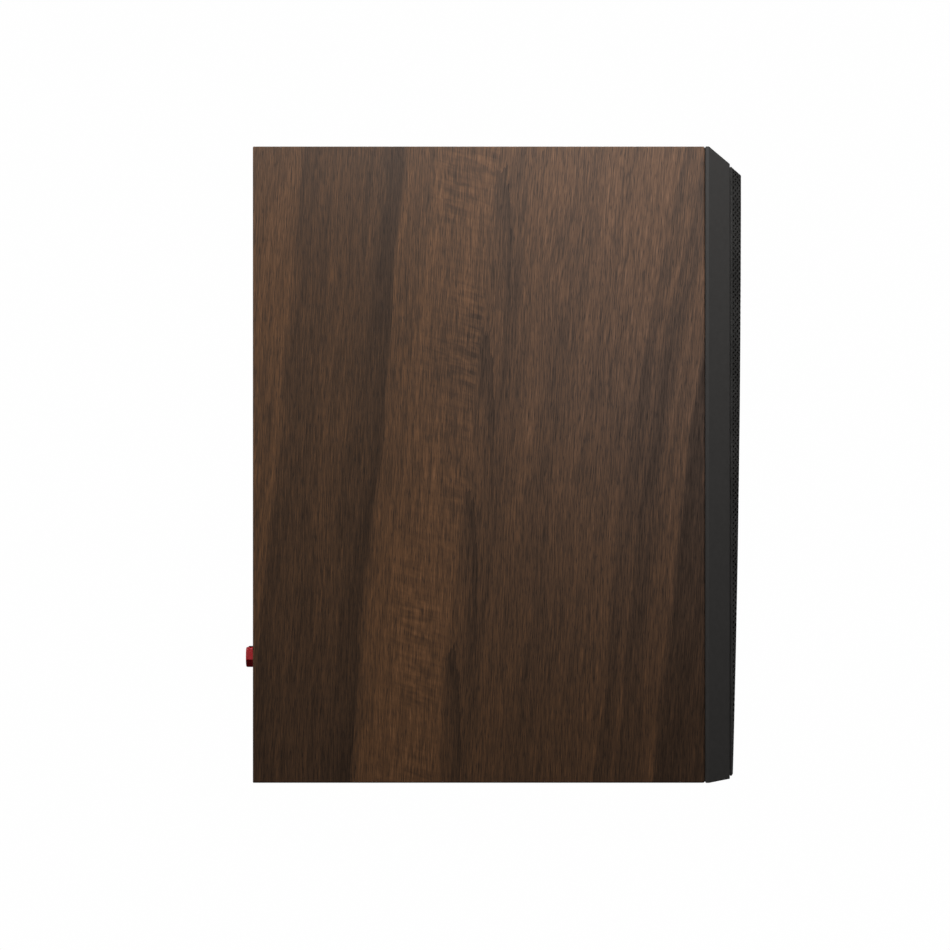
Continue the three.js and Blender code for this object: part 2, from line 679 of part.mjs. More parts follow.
function addCables() {
  const parent = group();
  add(parent, 'input_cable', cable([[0, 204, 52], [0, 200, 44], [0, 197, 34], [0, 187, 26.5]]), cableJacket);
  add(parent, 'woofer_cable', cable([
    [18, 112, 25], [18, 98, 22], [12, 62, 20], [4, 30, 24], [0, 17, 34],
  ]), cableJacket);
  add(parent, 'tweeter_cable', cable([
    [-42, 118, 26], [-58, 120, 34], [-66, 124, 70], [-66, 124, 150], [-62, 116, 184],
    [-56, 84, 212], [-42, 50, 234], [-24, 28, 240],
  ]), cableJacket);
}

addCabinet();
addPort();
addBaffle();
addGrille();
addWoofer();
addTweeter();
addTerminalCup();
addPost(-1, 'red', redPlastic, 12);
addPost(1, 'black', plasticBlack, 0);
addCrossover();
addCables();

export default speaker;
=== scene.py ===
"""A two-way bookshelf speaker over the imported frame: walnut vinyl cabinet, chamfered black baffle,
perforated grille, drivers, port, terminal cup and crossover.

Pieces are made in millimetres. +Z is up and the front faces -Y. While a piece is made, y = 0 is the plane
where the baffle meets the cabinet; mesh() moves it to the frame and turns it into metres.
"""

from math import cos, degrees, hypot, pi, radians, sin, tau

import bmesh
import bpy
import numpy as np
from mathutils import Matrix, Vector


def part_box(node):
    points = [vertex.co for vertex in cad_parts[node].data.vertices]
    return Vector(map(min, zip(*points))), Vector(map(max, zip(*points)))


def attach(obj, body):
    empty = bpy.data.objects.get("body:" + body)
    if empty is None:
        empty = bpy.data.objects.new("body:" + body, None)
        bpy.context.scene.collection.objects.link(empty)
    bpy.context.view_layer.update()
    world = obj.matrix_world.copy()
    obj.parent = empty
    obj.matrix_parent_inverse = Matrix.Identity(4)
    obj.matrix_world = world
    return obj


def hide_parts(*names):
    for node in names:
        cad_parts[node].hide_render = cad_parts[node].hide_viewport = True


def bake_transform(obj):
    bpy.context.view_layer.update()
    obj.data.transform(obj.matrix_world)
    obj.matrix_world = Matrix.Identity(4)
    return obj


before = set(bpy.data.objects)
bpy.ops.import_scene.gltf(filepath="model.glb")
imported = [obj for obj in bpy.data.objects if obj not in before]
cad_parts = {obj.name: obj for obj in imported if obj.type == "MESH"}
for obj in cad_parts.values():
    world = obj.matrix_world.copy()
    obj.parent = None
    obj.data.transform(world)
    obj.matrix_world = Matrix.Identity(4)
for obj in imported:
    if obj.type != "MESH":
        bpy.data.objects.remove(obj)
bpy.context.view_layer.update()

MM = 0.001
JOINT_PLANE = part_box("side_panel_left")[0].y / MM

# Dimensions of the frame that the pieces repeat.

WIDTH, HEIGHT, DEPTH = 190, 320, 227.3
BOARD, REBATE = 15, 9
GAP = 0.3
GROOVE_INSET, GROOVE_DEPTH = 0.75, 0.5
STRIP, FACE = 2, -13
TONGUE = 8
CHAMFER_SIDE, CHAMFER_TOP, CHAMFER_BOTTOM = 7, 8.2, 1.5
EDGE_RADIUS = 0.8                     # of the vinyl wrap's long edges
FACE_LEFT, FACE_RIGHT = -WIDTH / 2 + CHAMFER_SIDE, WIDTH / 2 - CHAMFER_SIDE
FACE_LOW, FACE_HIGH = CHAMFER_BOTTOM, HEIGHT - CHAMFER_TOP

GRILLE_MARGIN, GRILLE_EDGE, GRILLE_RISE, GRILLE_FALL = 1.35, 1, 6.6, 4.75
FACET_SIDE, FACET_TOP, FACET_BOTTOM = 10.2, 3.45, 0.8
SHEET = 0.8
PITCH_ACROSS, PITCH_DOWN, HOLE_RADIUS = 2.41, 2.78, 0.95
HEM = 1.2
GRILLE_HALF = FACE_RIGHT - GRILLE_MARGIN
GRILLE_LOW, GRILLE_HIGH = FACE_LOW + GRILLE_MARGIN, FACE_HIGH - GRILLE_MARGIN
FLAT_ACROSS, FLAT_DOWN = 2 * (GRILLE_HALF + 1.44), 311.1     # the sheet's flat pattern

WOOFER_Z, TWEETER_Z, PORT_Z, CUP_Z = 102, 240, 236, 59
WOOFER_FLANGE, WOOFER_RECESS, WOOFER_HOLE, WOOFER_SCREWS = 75, 9, 63.5, 70.5
TWEETER_FLANGE, TWEETER_RECESS, TWEETER_HOLE, TWEETER_SCREWS = 52, 4, 38, 46.5
MAGNET_X, MAGNET_LOW, MAGNET_HIGH = FACE_RIGHT - 6, FACE_LOW + 7.5, FACE_HIGH - 7.5
MAGNET_RADIUS, MAGNET_HEIGHT = 4, 2.5

# Depths in the woofer: its seat, the flange's two faces, the cone's edge and the basket's end.
SEAT = FACE + WOOFER_RECESS
FLANGE_BACK = SEAT - 1
FLANGE_FRONT = FLANGE_BACK - 1.5
CONE_EDGE = FLANGE_FRONT - 0.8
BASKET_END = SEAT + 43

PORT_BORE, PORT_WALL, PORT_LENGTH, PORT_FLARE, PORT_FLANGE, PORT_PROUD = 25, 2.5, 120, 12, 41, 3
CUP_SIZE, CUP_FLANGE, CUP_POCKET, CUP_DEPTH, CUP_WALL = (84, 64), 2.5, (60, 42), 14, 2.5
CUP_FLOOR = DEPTH - CUP_DEPTH
POST_SPACING, POST_SHAFT, POST_SOCKET, POST_HEX = 19.05, 3, 2.05, 5.5
CAP_END = DEPTH + 8.7

BRACE_LOW, BRACE_HIGH, BRACE_FRONT, BRACE_BACK = 178, 190, 22, 205
WINDOW_LENGTH, WINDOW_WIDTH, WINDOW_MIDDLE = 140, 62, 37
LINING_THICK, LINING_FRONT, LINING_BACK = 10, 30, 190
CIRCUIT_WIDTH, CIRCUIT_FRONT, CIRCUIT_BACK, CIRCUIT_FOOT, CIRCUIT_TOP = 100, 110, 190, 20, 21.6

# The stage, in metres and watts.
CAMERA, LENS = (-1.885, 0.0074, 0.1548), 134.93
WHITE, FILL = 0.995, 0.008            # strength of the white that shows, and of the light that it gives
STRIP_POWER, LAMP_POWER = 2.4, 7


# Node helper.

class Nodes:
    """One procedural material, built node by node. Sockets and plain numbers go in, and sockets come out."""

    def __init__(self, name):
        self.material = bpy.data.materials.new(name)
        self.material.use_nodes = True
        self.tree = self.material.node_tree
        self.shader = self.tree.nodes["Principled BSDF"]

    def add(self, kind, inputs=(), output=0, **settings):
        node = self.tree.nodes.new("ShaderNode" + kind)
        for key, value in settings.items():
            setattr(node, key, value)
        for key, value in dict(inputs).items():
            self.put(node.inputs[key], value)
        return node.outputs[output]

    def put(self, socket, value):
        if isinstance(value, bpy.types.NodeSocket):
            self.tree.links.new(value, socket)
        else:
            socket.default_value = value

    def finish(self, **inputs):
        """Sets the shader's inputs and hands over the material."""
        for key, value in inputs.items():
            self.put(self.shader.inputs[key.replace("_", " ").title().replace("Ior", "IOR")], value)
        return self.material

    def math(self, operation, a, b=0.0, c=0.0, clamp=False):
        return self.add("Math", {0: a, 1: b, 2: c}, operation=operation, use_clamp=clamp)

    def plus(self, a, b, **settings):
        return self.math("ADD", a, b, **settings)

    def minus(self, a, b):
        return self.math("SUBTRACT", a, b)

    def times(self, a, b, **settings):
        return self.math("MULTIPLY", a, b, **settings)

    def scaled(self, value, factor, offset):
        return self.math("MULTIPLY_ADD", value, factor, offset)

    def place(self, scale=1000.0):
        """Object coordinates, in millimetres unless another scale is given."""
        where = self.add("TexCoord", output=3)
        factors = scale if isinstance(scale, tuple) else (scale,) * 3
        return self.add("VectorMath", {0: where, 1: factors}, operation="MULTIPLY")

    def split(self, vector):
        node = self.tree.nodes.new("ShaderNodeSeparateXYZ")
        self.tree.links.new(vector, node.inputs[0])
        return node.outputs[:]

    def join(self, x=0.0, y=0.0, z=0.0):
        return self.add("CombineXYZ", {0: x, 1: y, 2: z})

    def noise(self, vector, scale=1.0, detail=2.0, roughness=0.5, distortion=0.0):
        return self.add("TexNoise", {
            "Vector": vector, "Scale": scale, "Detail": detail, "Roughness": roughness,
            "Distortion": distortion,
        })

    def cells(self, vector, scale=1.0, feature="F1"):
        return self.add("TexVoronoi", {"Vector": vector, "Scale": scale}, feature=feature)

    def fit(self, value, low, high, to_low=0.0, to_high=1.0, smooth=False):
        """The value mapped from one range to another, and held at the ends."""
        return self.add("MapRange", {0: value, 1: low, 2: high, 3: to_low, 4: to_high},
                        interpolation_type="SMOOTHSTEP" if smooth else "LINEAR")

    def ramp(self, value, stops):
        """A colour ramp from (position, grey or colour) stops."""
        node = self.tree.nodes.new("ShaderNodeValToRGB")
        elements = node.color_ramp.elements
        while len(elements) < len(stops):
            elements.new(0.5)
        for element, (position, tone) in zip(elements, stops):
            element.position = position
            element.color = (*tone, 1) if isinstance(tone, tuple) else (tone, tone, tone, 1)
        self.put(node.inputs[0], value)
        return node.outputs[0]

    def mix(self, factor, a, b, blend="MIX"):
        node = self.tree.nodes.new("ShaderNodeMix")
        node.data_type = "RGBA"
        node.blend_type = blend
        for socket, value in zip((node.inputs[0], node.inputs[6], node.inputs[7]), (factor, a, b)):
            self.put(socket, (*value, 1) if isinstance(value, tuple) and len(value) == 3 else value)
        return node.outputs[2]

    def bump(self, height, distance, strength=1.0, normal=None):
        """A bump of the given height in millimetres where the value goes from 0 to 1."""
        inputs = {"Height": height, "Distance": distance * MM, "Strength": strength}
        if normal is not None:
            inputs["Normal"] = normal
        return self.add("Bump", inputs)

    def smudges(self, low, high, size=30.0):
        """Roughness that wanders between two values over patches of the given size in millimetres."""
        return self.fit(self.noise(self.place(), 1 / size, 4.0, 0.6), 0.35, 0.65, low, high)


# Materials.

WALNUT = (0.130, 0.0670, 0.0362)      # mean linear colour of the printed grain
SLANT = 0.095                         # the grain leans toward the front as it climbs
# Tone of the bands, by the distance in millimetres from the rear edge at the foot of the side.
WALNUT_BANDS = (
    (-40, 0.84), (-16, 0.86), (-4.5, 1.0), (-3, 0.62), (8, 0.68), (24, 0.76), (36, 0.64), (46.5, 0.5),
    (48.5, 0.94), (60, 1.02), (80, 1.16), (95, 0.98), (106, 0.86), (116, 1.08), (135, 0.98), (152, 1.12),
    (170.5, 1.14), (172, 0.82), (176, 0.92), (178.5, 1.04), (180.8, 1.1), (181.8, 0.76), (187, 0.83),
    (190, 1.02), (195, 1.14), (200.5, 1.3), (201.8, 0.66), (225, 0.75), (260, 0.95),
)
FIRST_ARCH, ARCH_EVERY = 66.8, 81.0   # height of the lowest arch's tip, and the rise from tip to tip


def walnut(name, across, along):
    """Walnut-print vinyl. across and along are (axis, factor, offset) that give the distance in
    millimetres from the rear edge, and the distance along the grain from the foot of the left side."""
    n = Nodes(name)
    xyz = n.split(n.place())
    a = n.scaled(xyz[across[0]], across[1], across[2])
    s = n.scaled(xyz[along[0]], along[1], along[2])

    # The grain leans, bends forward near the front as it climbs, and wanders a little.
    past_top = n.math("MAXIMUM", n.minus(s, HEIGHT), 0.0)
    lean = n.scaled(s, SLANT, n.times(n.math("POWER", past_top, 2.0), -0.00028))
    climb = n.fit(s, 80, 320, 0, 240)
    bend = n.times(n.times(climb, climb), n.fit(a, 112, 190, 0, 0.00026))
    slow = n.noise(n.join(n.times(a, 0.03), n.times(s, 0.009)), 1, 1)
    shift = n.plus(n.plus(lean, bend), n.fit(slow, 0.3, 0.7, -2.2, 2.2))
    q = n.minus(a, shift)
    upright = n.scaled(shift, -0.4, a)
    beside = n.minus(a, n.scaled(lean, 1.11, 92.5))

    def streaks(fineness, length, detail, seed=0.0, twist=0.0, across_grain=q):
        """Noise drawn out along the grain: lines per millimetre across, and their length."""
        where = n.join(n.times(across_grain, fineness), n.times(s, 1 / length), seed)
        return n.noise(where, 1.0, detail, 0.6, twist)

    def shaded(tone, value, low_tone, high_tone, start=0.3, end=0.7):
        return n.times(tone, n.fit(value, start, end, low_tone, high_tone))

    ragged = n.plus(q, n.fit(streaks(0.5, 40, 3, 51), 0.3, 0.7, -0.8, 0.8))
    low, high = WALNUT_BANDS[0][0], WALNUT_BANDS[-1][0]
    stops = [((where - low) / (high - low), tone / 2) for where, tone in WALNUT_BANDS]
    tone = n.times(n.ramp(n.fit(ragged, low, high), stops), 2.0)

    # The flamed band grows brighter toward the foot. Painted light and shade: the front half is painted
    # lighter toward the top and darker toward the foot.
    glow = n.times(n.fit(q, 46, 50, 0, 1, True), n.fit(beside, -1, 3, 1, 0, True))
    tone = n.times(tone, n.scaled(glow, n.fit(s, 0, 230, 0.2, -0.06), 1.0))
    front = n.fit(a, 100, 135, 0, 1, True)
    tone = n.times(tone, n.scaled(front, n.fit(s, 20, 320, -0.18, 0.2), 1.0))

    hairs = streaks(2.6, 10, 2, 11, 0.0, upright)
    pores = streaks(2.3, 5.5, 1, 19, 0.3, upright)
    tone = shaded(tone, streaks(0.11, 150, 2, 3), 0.88, 1.12)
    tone = shaded(tone, streaks(0.32, 110, 2, 5), 0.84, 1.16)
    tone = shaded(tone, streaks(1.5, 24, 2, 7, 0.0, upright), 0.68, 1.32)
    tone = shaded(tone, hairs, 0.6, 1.4)
    tone = shaded(tone, pores, 1.0, 0.5, 0.54, 0.72)
    tone = shaded(tone, arches(n, s, beside, streaks(0.7, 30, 2, 23)), 1.03, 0.55, 0, 1)
    tone = n.times(tone, n.plus(ripples(n, q, s, beside), 1.0))

    # Painted shade: the upper rear is painted darker and warmer, to hold back the sheen there.
    upper_rear_shade = n.times(n.fit(a, 0, 100, 1, 0, True), n.fit(s, 180, 300, 0, 1, True))
    tint = walnut_hue_and_sheen(n, a, s, tone, upper_rear_shade)
    tone = n.times(tone, n.fit(upper_rear_shade, 0, 1, 1.03, 0.94))
    colour = n.mix(1.0, tint, n.join(tone, tone, tone), "MULTIPLY")
    pebbles = n.noise(n.place(), 4.5, 2, 0.6)
    relief = n.bump(pebbles, 0.012, 1.0, n.bump(n.minus(hairs, pores), 0.035))
    return n.finish(base_color=colour, roughness=n.fit(pores, 0.35, 0.75, 0.44, 0.56), normal=relief,
                    specular_ior_level=0.38)


def arches(n, s, beside, rough):
    """Cathedral arches that fall away to the front of a leaning axis, each with a dark core under its
    tip. beside is the distance from the axis, and rough makes their edges uneven."""
    rise = n.math("DIVIDE", n.times(beside, beside), 2.0)
    step = n.plus(n.plus(s, rise), n.minus(n.fit(rough, 0.3, 0.7, -5, 5), FIRST_ARCH))
    phase = n.math("FRACT", n.math("DIVIDE", step, ARCH_EVERY))
    in_arches = n.times(n.fit(beside, -3, 0.5, 0, 1, True), n.fit(beside, 6, 17, 1, 0, True))
    return n.times(n.math("POWER", phase, 2.6), in_arches)


def ripples(n, q, s, beside):
    """Ripples across the grain, in patches on the rear side of the arches."""
    tilted = n.scaled(beside, 0.3, s)
    waves = n.noise(n.join(n.times(q, 0.055), n.times(tilted, 0.26), 31), 1, 2, 0.6, 0.3)
    in_band = n.times(n.fit(beside, -42, -16, 0, 1, True), n.fit(beside, -3, 0, 1, 0, True))
    clouds = n.noise(n.join(n.times(q, 0.02), n.times(s, 0.016), 41))
    patches = n.fit(clouds, 0.4, 0.6, 0.25, 1, True)
    return n.times(n.times(in_band, patches), n.fit(waves, 0.34, 0.66, -0.36, 0.36))


def walnut_hue_and_sheen(n, a, s, tone, upper_rear_shade):
    """The print's hue, with a painted sheen: a neutral bluish grey over the front half, most so halfway up
    and in the dark bands, stands in for reflected light. It is warmer in the pale bands, and painted warmer
    at the upper rear as shade."""
    # Painted sheen: a neutral grey mixed into the front half, most halfway up and in the dark bands, stands
    # in for reflected light.
    half_up = n.times(n.fit(s, 30, 190, 0.1, 1.1), n.fit(s, 200, 310, 1, 0.65))
    dark = n.fit(tone, 0.65, 1.25, 1.1, 0.6)
    grey = n.times(n.fit(a, 40, 200, 0, 1, True), n.times(half_up, dark), clamp=True)
    warm = n.plus(n.fit(tone, 0.55, 1.3), n.times(upper_rear_shade, 0.8), clamp=True)
    # The last of these colours is the painted sheen's grey.
    dull, red, sheen_grey = (
        tuple(c * k for c, k in zip(WALNUT, factors))
        for factors in ((0.97, 1.0, 1.0), (1.07, 0.98, 0.8), (0.92, 1.12, 1.5)))
    return n.mix(grey, n.mix(warm, dull, red), sheen_grey)


def moulded(name, colour, low, high, grain=1.6, depth=0.02, tint=0.12, **extra):
    """A moulded or painted surface: fine pebble grain, faint mottling and patches of handling gloss."""
    n = Nodes(name)
    pebbles = n.cells(n.place(), grain)
    mottle = n.noise(n.place(), 0.4, 5)
    dark = tuple(c * (1 - tint) for c in colour)
    light = tuple(c * (1 + tint) for c in colour)
    shade = n.mix(n.fit(mottle, 0.35, 0.65), dark, light)
    relief = n.bump(n.plus(pebbles, n.noise(n.place(), grain * 2.5, 2)), depth)
    return n.finish(base_color=shade, roughness=n.smudges(low, high), normal=relief, **extra)


def metal(name, colour, low, high, brushed=(0.4, 0.4, 0.4), depth=0.01):
    """Bare or plated metal with fine tool marks. brushed is the marks' density along each axis."""
    n = Nodes(name)
    marks = n.noise(n.place(tuple(1000 * b for b in brushed)), 1.0, 4, 0.7)
    stain = n.noise(n.place(), 0.12, 4, 0.6)
    shade = n.mix(n.fit(stain, 0.4, 0.7), colour, tuple(0.72 * c for c in colour))
    rough = n.scaled(marks, 0.14, n.smudges(low, high, 8.0))
    return n.finish(base_color=shade, metallic=1.0, roughness=rough, normal=n.bump(marks, depth))


def powder_coat():
    """Black powder coat on steel: a fine orange-peel skin over a dark semi-metallic base."""
    n = Nodes("grille_coat")
    peel = n.noise(n.place(), 2.2, 3, 0.6)
    sparkle = n.cells(n.place(), 6.0)
    cloud = n.fit(n.noise(n.place(), 0.05, 3), 0.35, 0.65)
    shade = n.mix(cloud, (0.055, 0.053, 0.0505), (0.066, 0.0635, 0.061))
    return n.finish(base_color=shade, metallic=0.15, roughness=n.smudges(0.42, 0.55, 20),
                    normal=n.bump(n.plus(peel, n.times(sparkle, 0.3)), 0.02),
                    specular_ior_level=0.5)


def radial(n, z):
    """Distance from an axis along Y at the given height, and the angle round it, in mm and radians."""
    x, _, height = n.split(n.place())
    up = n.minus(height, z)
    squares = n.plus(n.times(x, x), n.times(up, up))
    return n.math("SQRT", squares), n.math("ARCTAN2", up, x)


def pressed_paper(name, colour, z):
    """Cone pulp: soft fibres, faint press rings and a dry sheen."""
    n = Nodes(name)
    radius, _ = radial(n, z)
    fibres = n.noise(n.place(), 0.9, 6, 0.75, 1.2)
    rings = n.math("SINE", n.times(radius, 2.1))
    shade = n.mix(n.fit(fibres, 0.3, 0.7), colour, tuple(1.9 * c for c in colour))
    height = n.scaled(rings, 0.12, fibres)
    return n.finish(base_color=shade, roughness=n.smudges(0.72, 0.88, 15), normal=n.bump(height, 0.09),
                    sheen_weight=0.15, sheen_roughness=0.5)


def woven(name, colour, gaps, spacing, low, high, depth):
    """Plain-woven cloth, with painted shade between its threads. gaps is how bright it is between its
    threads, and spacing is their pitch.
    """
    n = Nodes(name)
    x, _, height = n.split(n.place())
    warp = n.math("SINE", n.times(x, tau / spacing))
    weft = n.math("SINE", n.times(height, tau / spacing))
    weave = n.fit(n.times(warp, weft), -1, 1)
    fuzz = n.noise(n.place(), 1.1, 4)
    # Painted shade: the colour is darker between the threads and brighter where they cross.
    shade = n.mix(n.fit(n.plus(weave, fuzz), 0.5, 1.5), tuple(gaps * c for c in colour), colour)
    return n.finish(base_color=shade, roughness=n.smudges(low, high, 10), normal=n.bump(weave, depth),
                    sheen_weight=0.1, sheen_roughness=0.4)


def rubber_roll():
    """Butyl rubber with the faint flow rings of its mould and a little bloom."""
    n = Nodes("butyl_rubber")
    radius, angle = radial(n, WOOFER_Z)
    flow = n.noise(n.join(n.times(radius, 1.4), n.times(angle, 3.0), 0.0), 1.0, 3)
    bloom = n.noise(n.place(), 0.12, 5, 0.65)
    shade = n.mix(n.fit(bloom, 0.4, 0.72), (0.012, 0.012, 0.0125), (0.03, 0.03, 0.031))
    return n.finish(base_color=shade, roughness=n.fit(bloom, 0.35, 0.7, 0.42, 0.6), normal=n.bump(flow, 0.03))


def ferrite():
    """Sintered ferrite: charcoal grey, matt, with grinding marks and small pits painted dark as shade."""
    n = Nodes("ferrite_ceramic")
    pits = n.cells(n.place(), 0.7)
    grind = n.noise(n.place((2400.0, 300.0, 2400.0)), 1.0, 4, 0.6)
    # Painted shade: the pits are dark dots in the colour, with no relief of their own.
    shade = n.mix(n.fit(pits, 0.05, 0.25), (0.012, 0.012, 0.013), (0.04, 0.041, 0.044))
    return n.finish(base_color=shade, roughness=n.smudges(0.55, 0.75, 10), normal=n.bump(grind, 0.04))


def windings(name, along, wire):
    """Enamelled copper wire, with painted shade between its turns. along is the axis that the turns are
    stacked on.
    """
    n = Nodes(name)
    xyz = n.split(n.place())
    turns = n.math("ABSOLUTE", n.math("SINE", n.times(xyz[along], pi / wire)))
    stain = n.noise(n.place(), 0.25, 4)
    # Painted shade: the colour turns dark in the crevices between the turns.
    shade = n.mix(turns, (0.16, 0.035, 0.012), n.mix(stain, (0.62, 0.19, 0.07), (0.5, 0.13, 0.045)))
    return n.finish(base_color=shade, metallic=1.0, roughness=n.smudges(0.24, 0.38, 6),
                    normal=n.bump(turns, wire * 0.4), coat_weight=0.6)


def fibreboard():
    """MDF: pressed tan fibres, with darker flecks."""
    n = Nodes("fibreboard_mdf")
    fibres = n.noise(n.place(), 1.3, 6, 0.8)
    flecks = n.cells(n.place(), 0.55)
    shade = n.mix(n.fit(fibres, 0.3, 0.7), (0.19, 0.105, 0.05), (0.33, 0.2, 0.105))
    shade = n.mix(n.fit(flecks, 0.0, 0.12), (0.12, 0.06, 0.03), shade)
    return n.finish(base_color=shade, roughness=n.smudges(0.85, 0.95), normal=n.bump(fibres, 0.12))


def felt():
    """Grey recycled felt with coloured fibres and a raised nap."""
    n = Nodes("grey_felt")
    nap = n.noise(n.place(), 0.6, 7, 0.8, 1.5)
    strands = n.noise(n.place((500.0, 60.0, 500.0)), 1.0, 3, 0.6, 2.0)
    shade = n.ramp(n.scaled(strands, 0.5, n.times(nap, 0.5)), (
        (0.3, (0.055, 0.055, 0.06)), (0.48, (0.14, 0.14, 0.145)), (0.56, (0.17, 0.15, 0.13)),
        (0.7, (0.3, 0.3, 0.31)),
    ))
    return n.finish(base_color=shade, roughness=n.smudges(0.9, 1.0), normal=n.bump(nap, 0.9),
                    sheen_weight=0.4, sheen_roughness=0.6)


def circuit_board():
    """Green solder mask over copper tracks, which show as slightly raised, lighter lines."""
    n = Nodes("circuit_board_mask")
    tracks = n.cells(n.place((130.0, 80.0, 0.0)), 1.0, "DISTANCE_TO_EDGE")
    track = n.fit(tracks, 0.10, 0.12, 1, 0)
    speck = n.noise(n.place(), 0.6, 3)
    shade = n.mix(track, (0.008, 0.06, 0.02), (0.016, 0.12, 0.04))
    return n.finish(base_color=n.mix(n.fit(speck, 0.4, 0.7, 0, 0.5), shade, (0.006, 0.045, 0.016)),
                    roughness=n.smudges(0.28, 0.42), normal=n.bump(track, 0.035), coat_weight=0.3)


def ceramic():
    """Glazeless white ceramic with small pits."""
    n = Nodes("white_ceramic_body")
    pits = n.cells(n.place(), 1.1)
    dirt = n.noise(n.place(), 0.3, 5)
    shade = n.mix(n.fit(dirt, 0.4, 0.7), (0.72, 0.7, 0.64), (0.56, 0.54, 0.48))
    return n.finish(base_color=shade, roughness=n.smudges(0.6, 0.8, 8), normal=n.bump(pits, 0.05))


def film_capacitor():
    """Pale yellow polyester wrap with faint lengthwise wrinkles, painted lighter on their crests and darker
    in their troughs as light and shade.
    """
    n = Nodes("polyester_wrap")
    wrinkles = n.noise(n.place((40.0, 900.0, 900.0)), 1.0, 3, 0.6)
    # Painted light and shade: the wrinkles' crests are lighter and their troughs darker.
    shade = n.mix(wrinkles, (0.62, 0.5, 0.2), (0.74, 0.62, 0.3))
    return n.finish(base_color=shade, roughness=n.smudges(0.25, 0.4, 8), normal=n.bump(wrinkles, 0.08),
                    coat_weight=0.4)


def red_plastic():
    """Glossy red plastic with fine handling scratches along its length."""
    n = Nodes("red_cap_plastic")
    cloud = n.noise(n.place(), 0.35, 4)
    scratches = n.noise(n.place((300.0, 2600.0, 2600.0)), 1.0, 3, 0.7)
    shade = n.mix(n.fit(cloud, 0.35, 0.65), (0.78, 0.007, 0.018), (0.88, 0.01, 0.024))
    return n.finish(base_color=shade, roughness=n.fit(scratches, 0.35, 0.75, 0.24, 0.38),
                    normal=n.bump(scratches, 0.012), specular_ior_level=0.3)


LOOKS = {}


def look(key):
    """The material of that name, made the first time it is asked for."""
    from_rear = (1, -1, DEPTH + JOINT_PLANE)
    makers = {
        "wall_left": lambda: walnut("walnut_left", from_rear, (2, 1, 0)),
        "wall_top": lambda: walnut("walnut_top", from_rear, (0, 1, HEIGHT + WIDTH / 2)),
        "wall_right": lambda: walnut("walnut_right", from_rear, (2, -1, 2 * HEIGHT + WIDTH)),
        "wall_bottom": lambda: walnut("walnut_bottom", from_rear, (0, -1, -WIDTH / 2)),
        "wall_back": lambda: walnut("walnut_back", (0, 1, 121), (2, 1, -60)),
        "baffle": lambda: moulded("baffle_satin", (0.051, 0.048, 0.0455), 0.53, 0.57, 2.2, 0.012, 0.05),
        "plastic": lambda: moulded("black_abs", (0.017, 0.017, 0.0175), 0.34, 0.5),
        "smooth_plastic": lambda: moulded("black_gloss_abs", (0.012, 0.012, 0.0125), 0.2, 0.32, 2.4, 0.006),
        "gasket": lambda: moulded("gasket_foam", (0.02, 0.02, 0.021), 0.8, 0.95, 1.0, 0.12),
        "cap_black": lambda: moulded("black_cap_plastic", (0.01, 0.01, 0.0105), 0.2, 0.34, 2.0, 0.008,
                                     coat_weight=0.3),
        "jacket": lambda: moulded("cable_pvc", (0.035, 0.035, 0.038), 0.38, 0.5, 3.0, 0.015),
        "zinc": lambda: metal("zinc_plate", (0.6, 0.59, 0.55), 0.24, 0.38),
        "nickel": lambda: metal("nickel_plate", (0.7, 0.69, 0.67), 0.16, 0.28, (0.8, 0.05, 0.8)),
        "steel": lambda: metal("pressed_steel", (0.32, 0.32, 0.33), 0.34, 0.5, (0.9, 0.12, 0.9)),
        "blackened": lambda: metal("blackened_steel", (0.035, 0.035, 0.037), 0.3, 0.42, (0.7, 0.7, 0.7)),
        "gold": lambda: metal("gold_plate", (0.86, 0.6, 0.24), 0.16, 0.26, (0.3, 1.8, 0.3)),
        "former": lambda: metal("coil_former", (0.62, 0.42, 0.2), 0.28, 0.4, (0.2, 1.2, 0.2)),
        "tinned": lambda: metal("tinned_wire", (0.66, 0.64, 0.6), 0.25, 0.4, (1.5, 1.5, 1.5)),
        "grille": powder_coat,
        "cone": lambda: pressed_paper("cone_pulp", (0.010, 0.010, 0.0108), WOOFER_Z),
        "dust_cap": lambda: pressed_paper("dust_cap_pulp", (0.012, 0.012, 0.0128), WOOFER_Z),
        "roll": rubber_roll,
        "spider": lambda: woven("spider_weave", (0.62, 0.36, 0.12), 0.55, 0.8, 0.75, 0.9, 0.15),
        "silk": lambda: woven("dome_weave", (0.016, 0.016, 0.018), 0.6, 0.42, 0.4, 0.55, 0.04),
        "ferrite": ferrite,
        "coil": lambda: windings("coil_wire", 1, 0.32),
        "inductor": lambda: windings("inductor_wire", 2, 0.9),
        "mdf": fibreboard,
        "felt": felt,
        "board": circuit_board,
        "ceramic": ceramic,
        "film": film_capacitor,
        "red": red_plastic,
    }
    if key not in LOOKS:
        LOOKS[key] = makers[key]()
    return LOOKS[key]


# Mesh helpers.

def loose(name, points, faces, merge, dissolve=False):
    """An object from points in millimetres, moved to the frame. Points closer than merge are joined, and
    the faces are turned outward."""
    data = bpy.data.meshes.new(name)
    moved = (np.asarray(points, float).reshape(-1, 3) + (0, JOINT_PLANE, 0)) * MM
    data.from_pydata(moved.tolist(), [], [list(map(int, face)) for face in faces])
    clean = bmesh.new()
    clean.from_mesh(data)
    bmesh.ops.remove_doubles(clean, verts=clean.verts, dist=merge)
    if dissolve:
        bmesh.ops.dissolve_degenerate(clean, edges=clean.edges, dist=merge)
    bmesh.ops.recalc_face_normals(clean, faces=clean.faces)
    clean.to_mesh(data)
    clean.free()
    obj = bpy.data.objects.new(name, data)
    bpy.context.scene.collection.objects.link(obj)
    return obj


def smooth(obj, sharp):
    """Smooth shading, with edges over the given angle in degrees left sharp."""
    obj.data.shade_smooth()
    obj.data.set_sharp_from_angle(angle=radians(sharp))


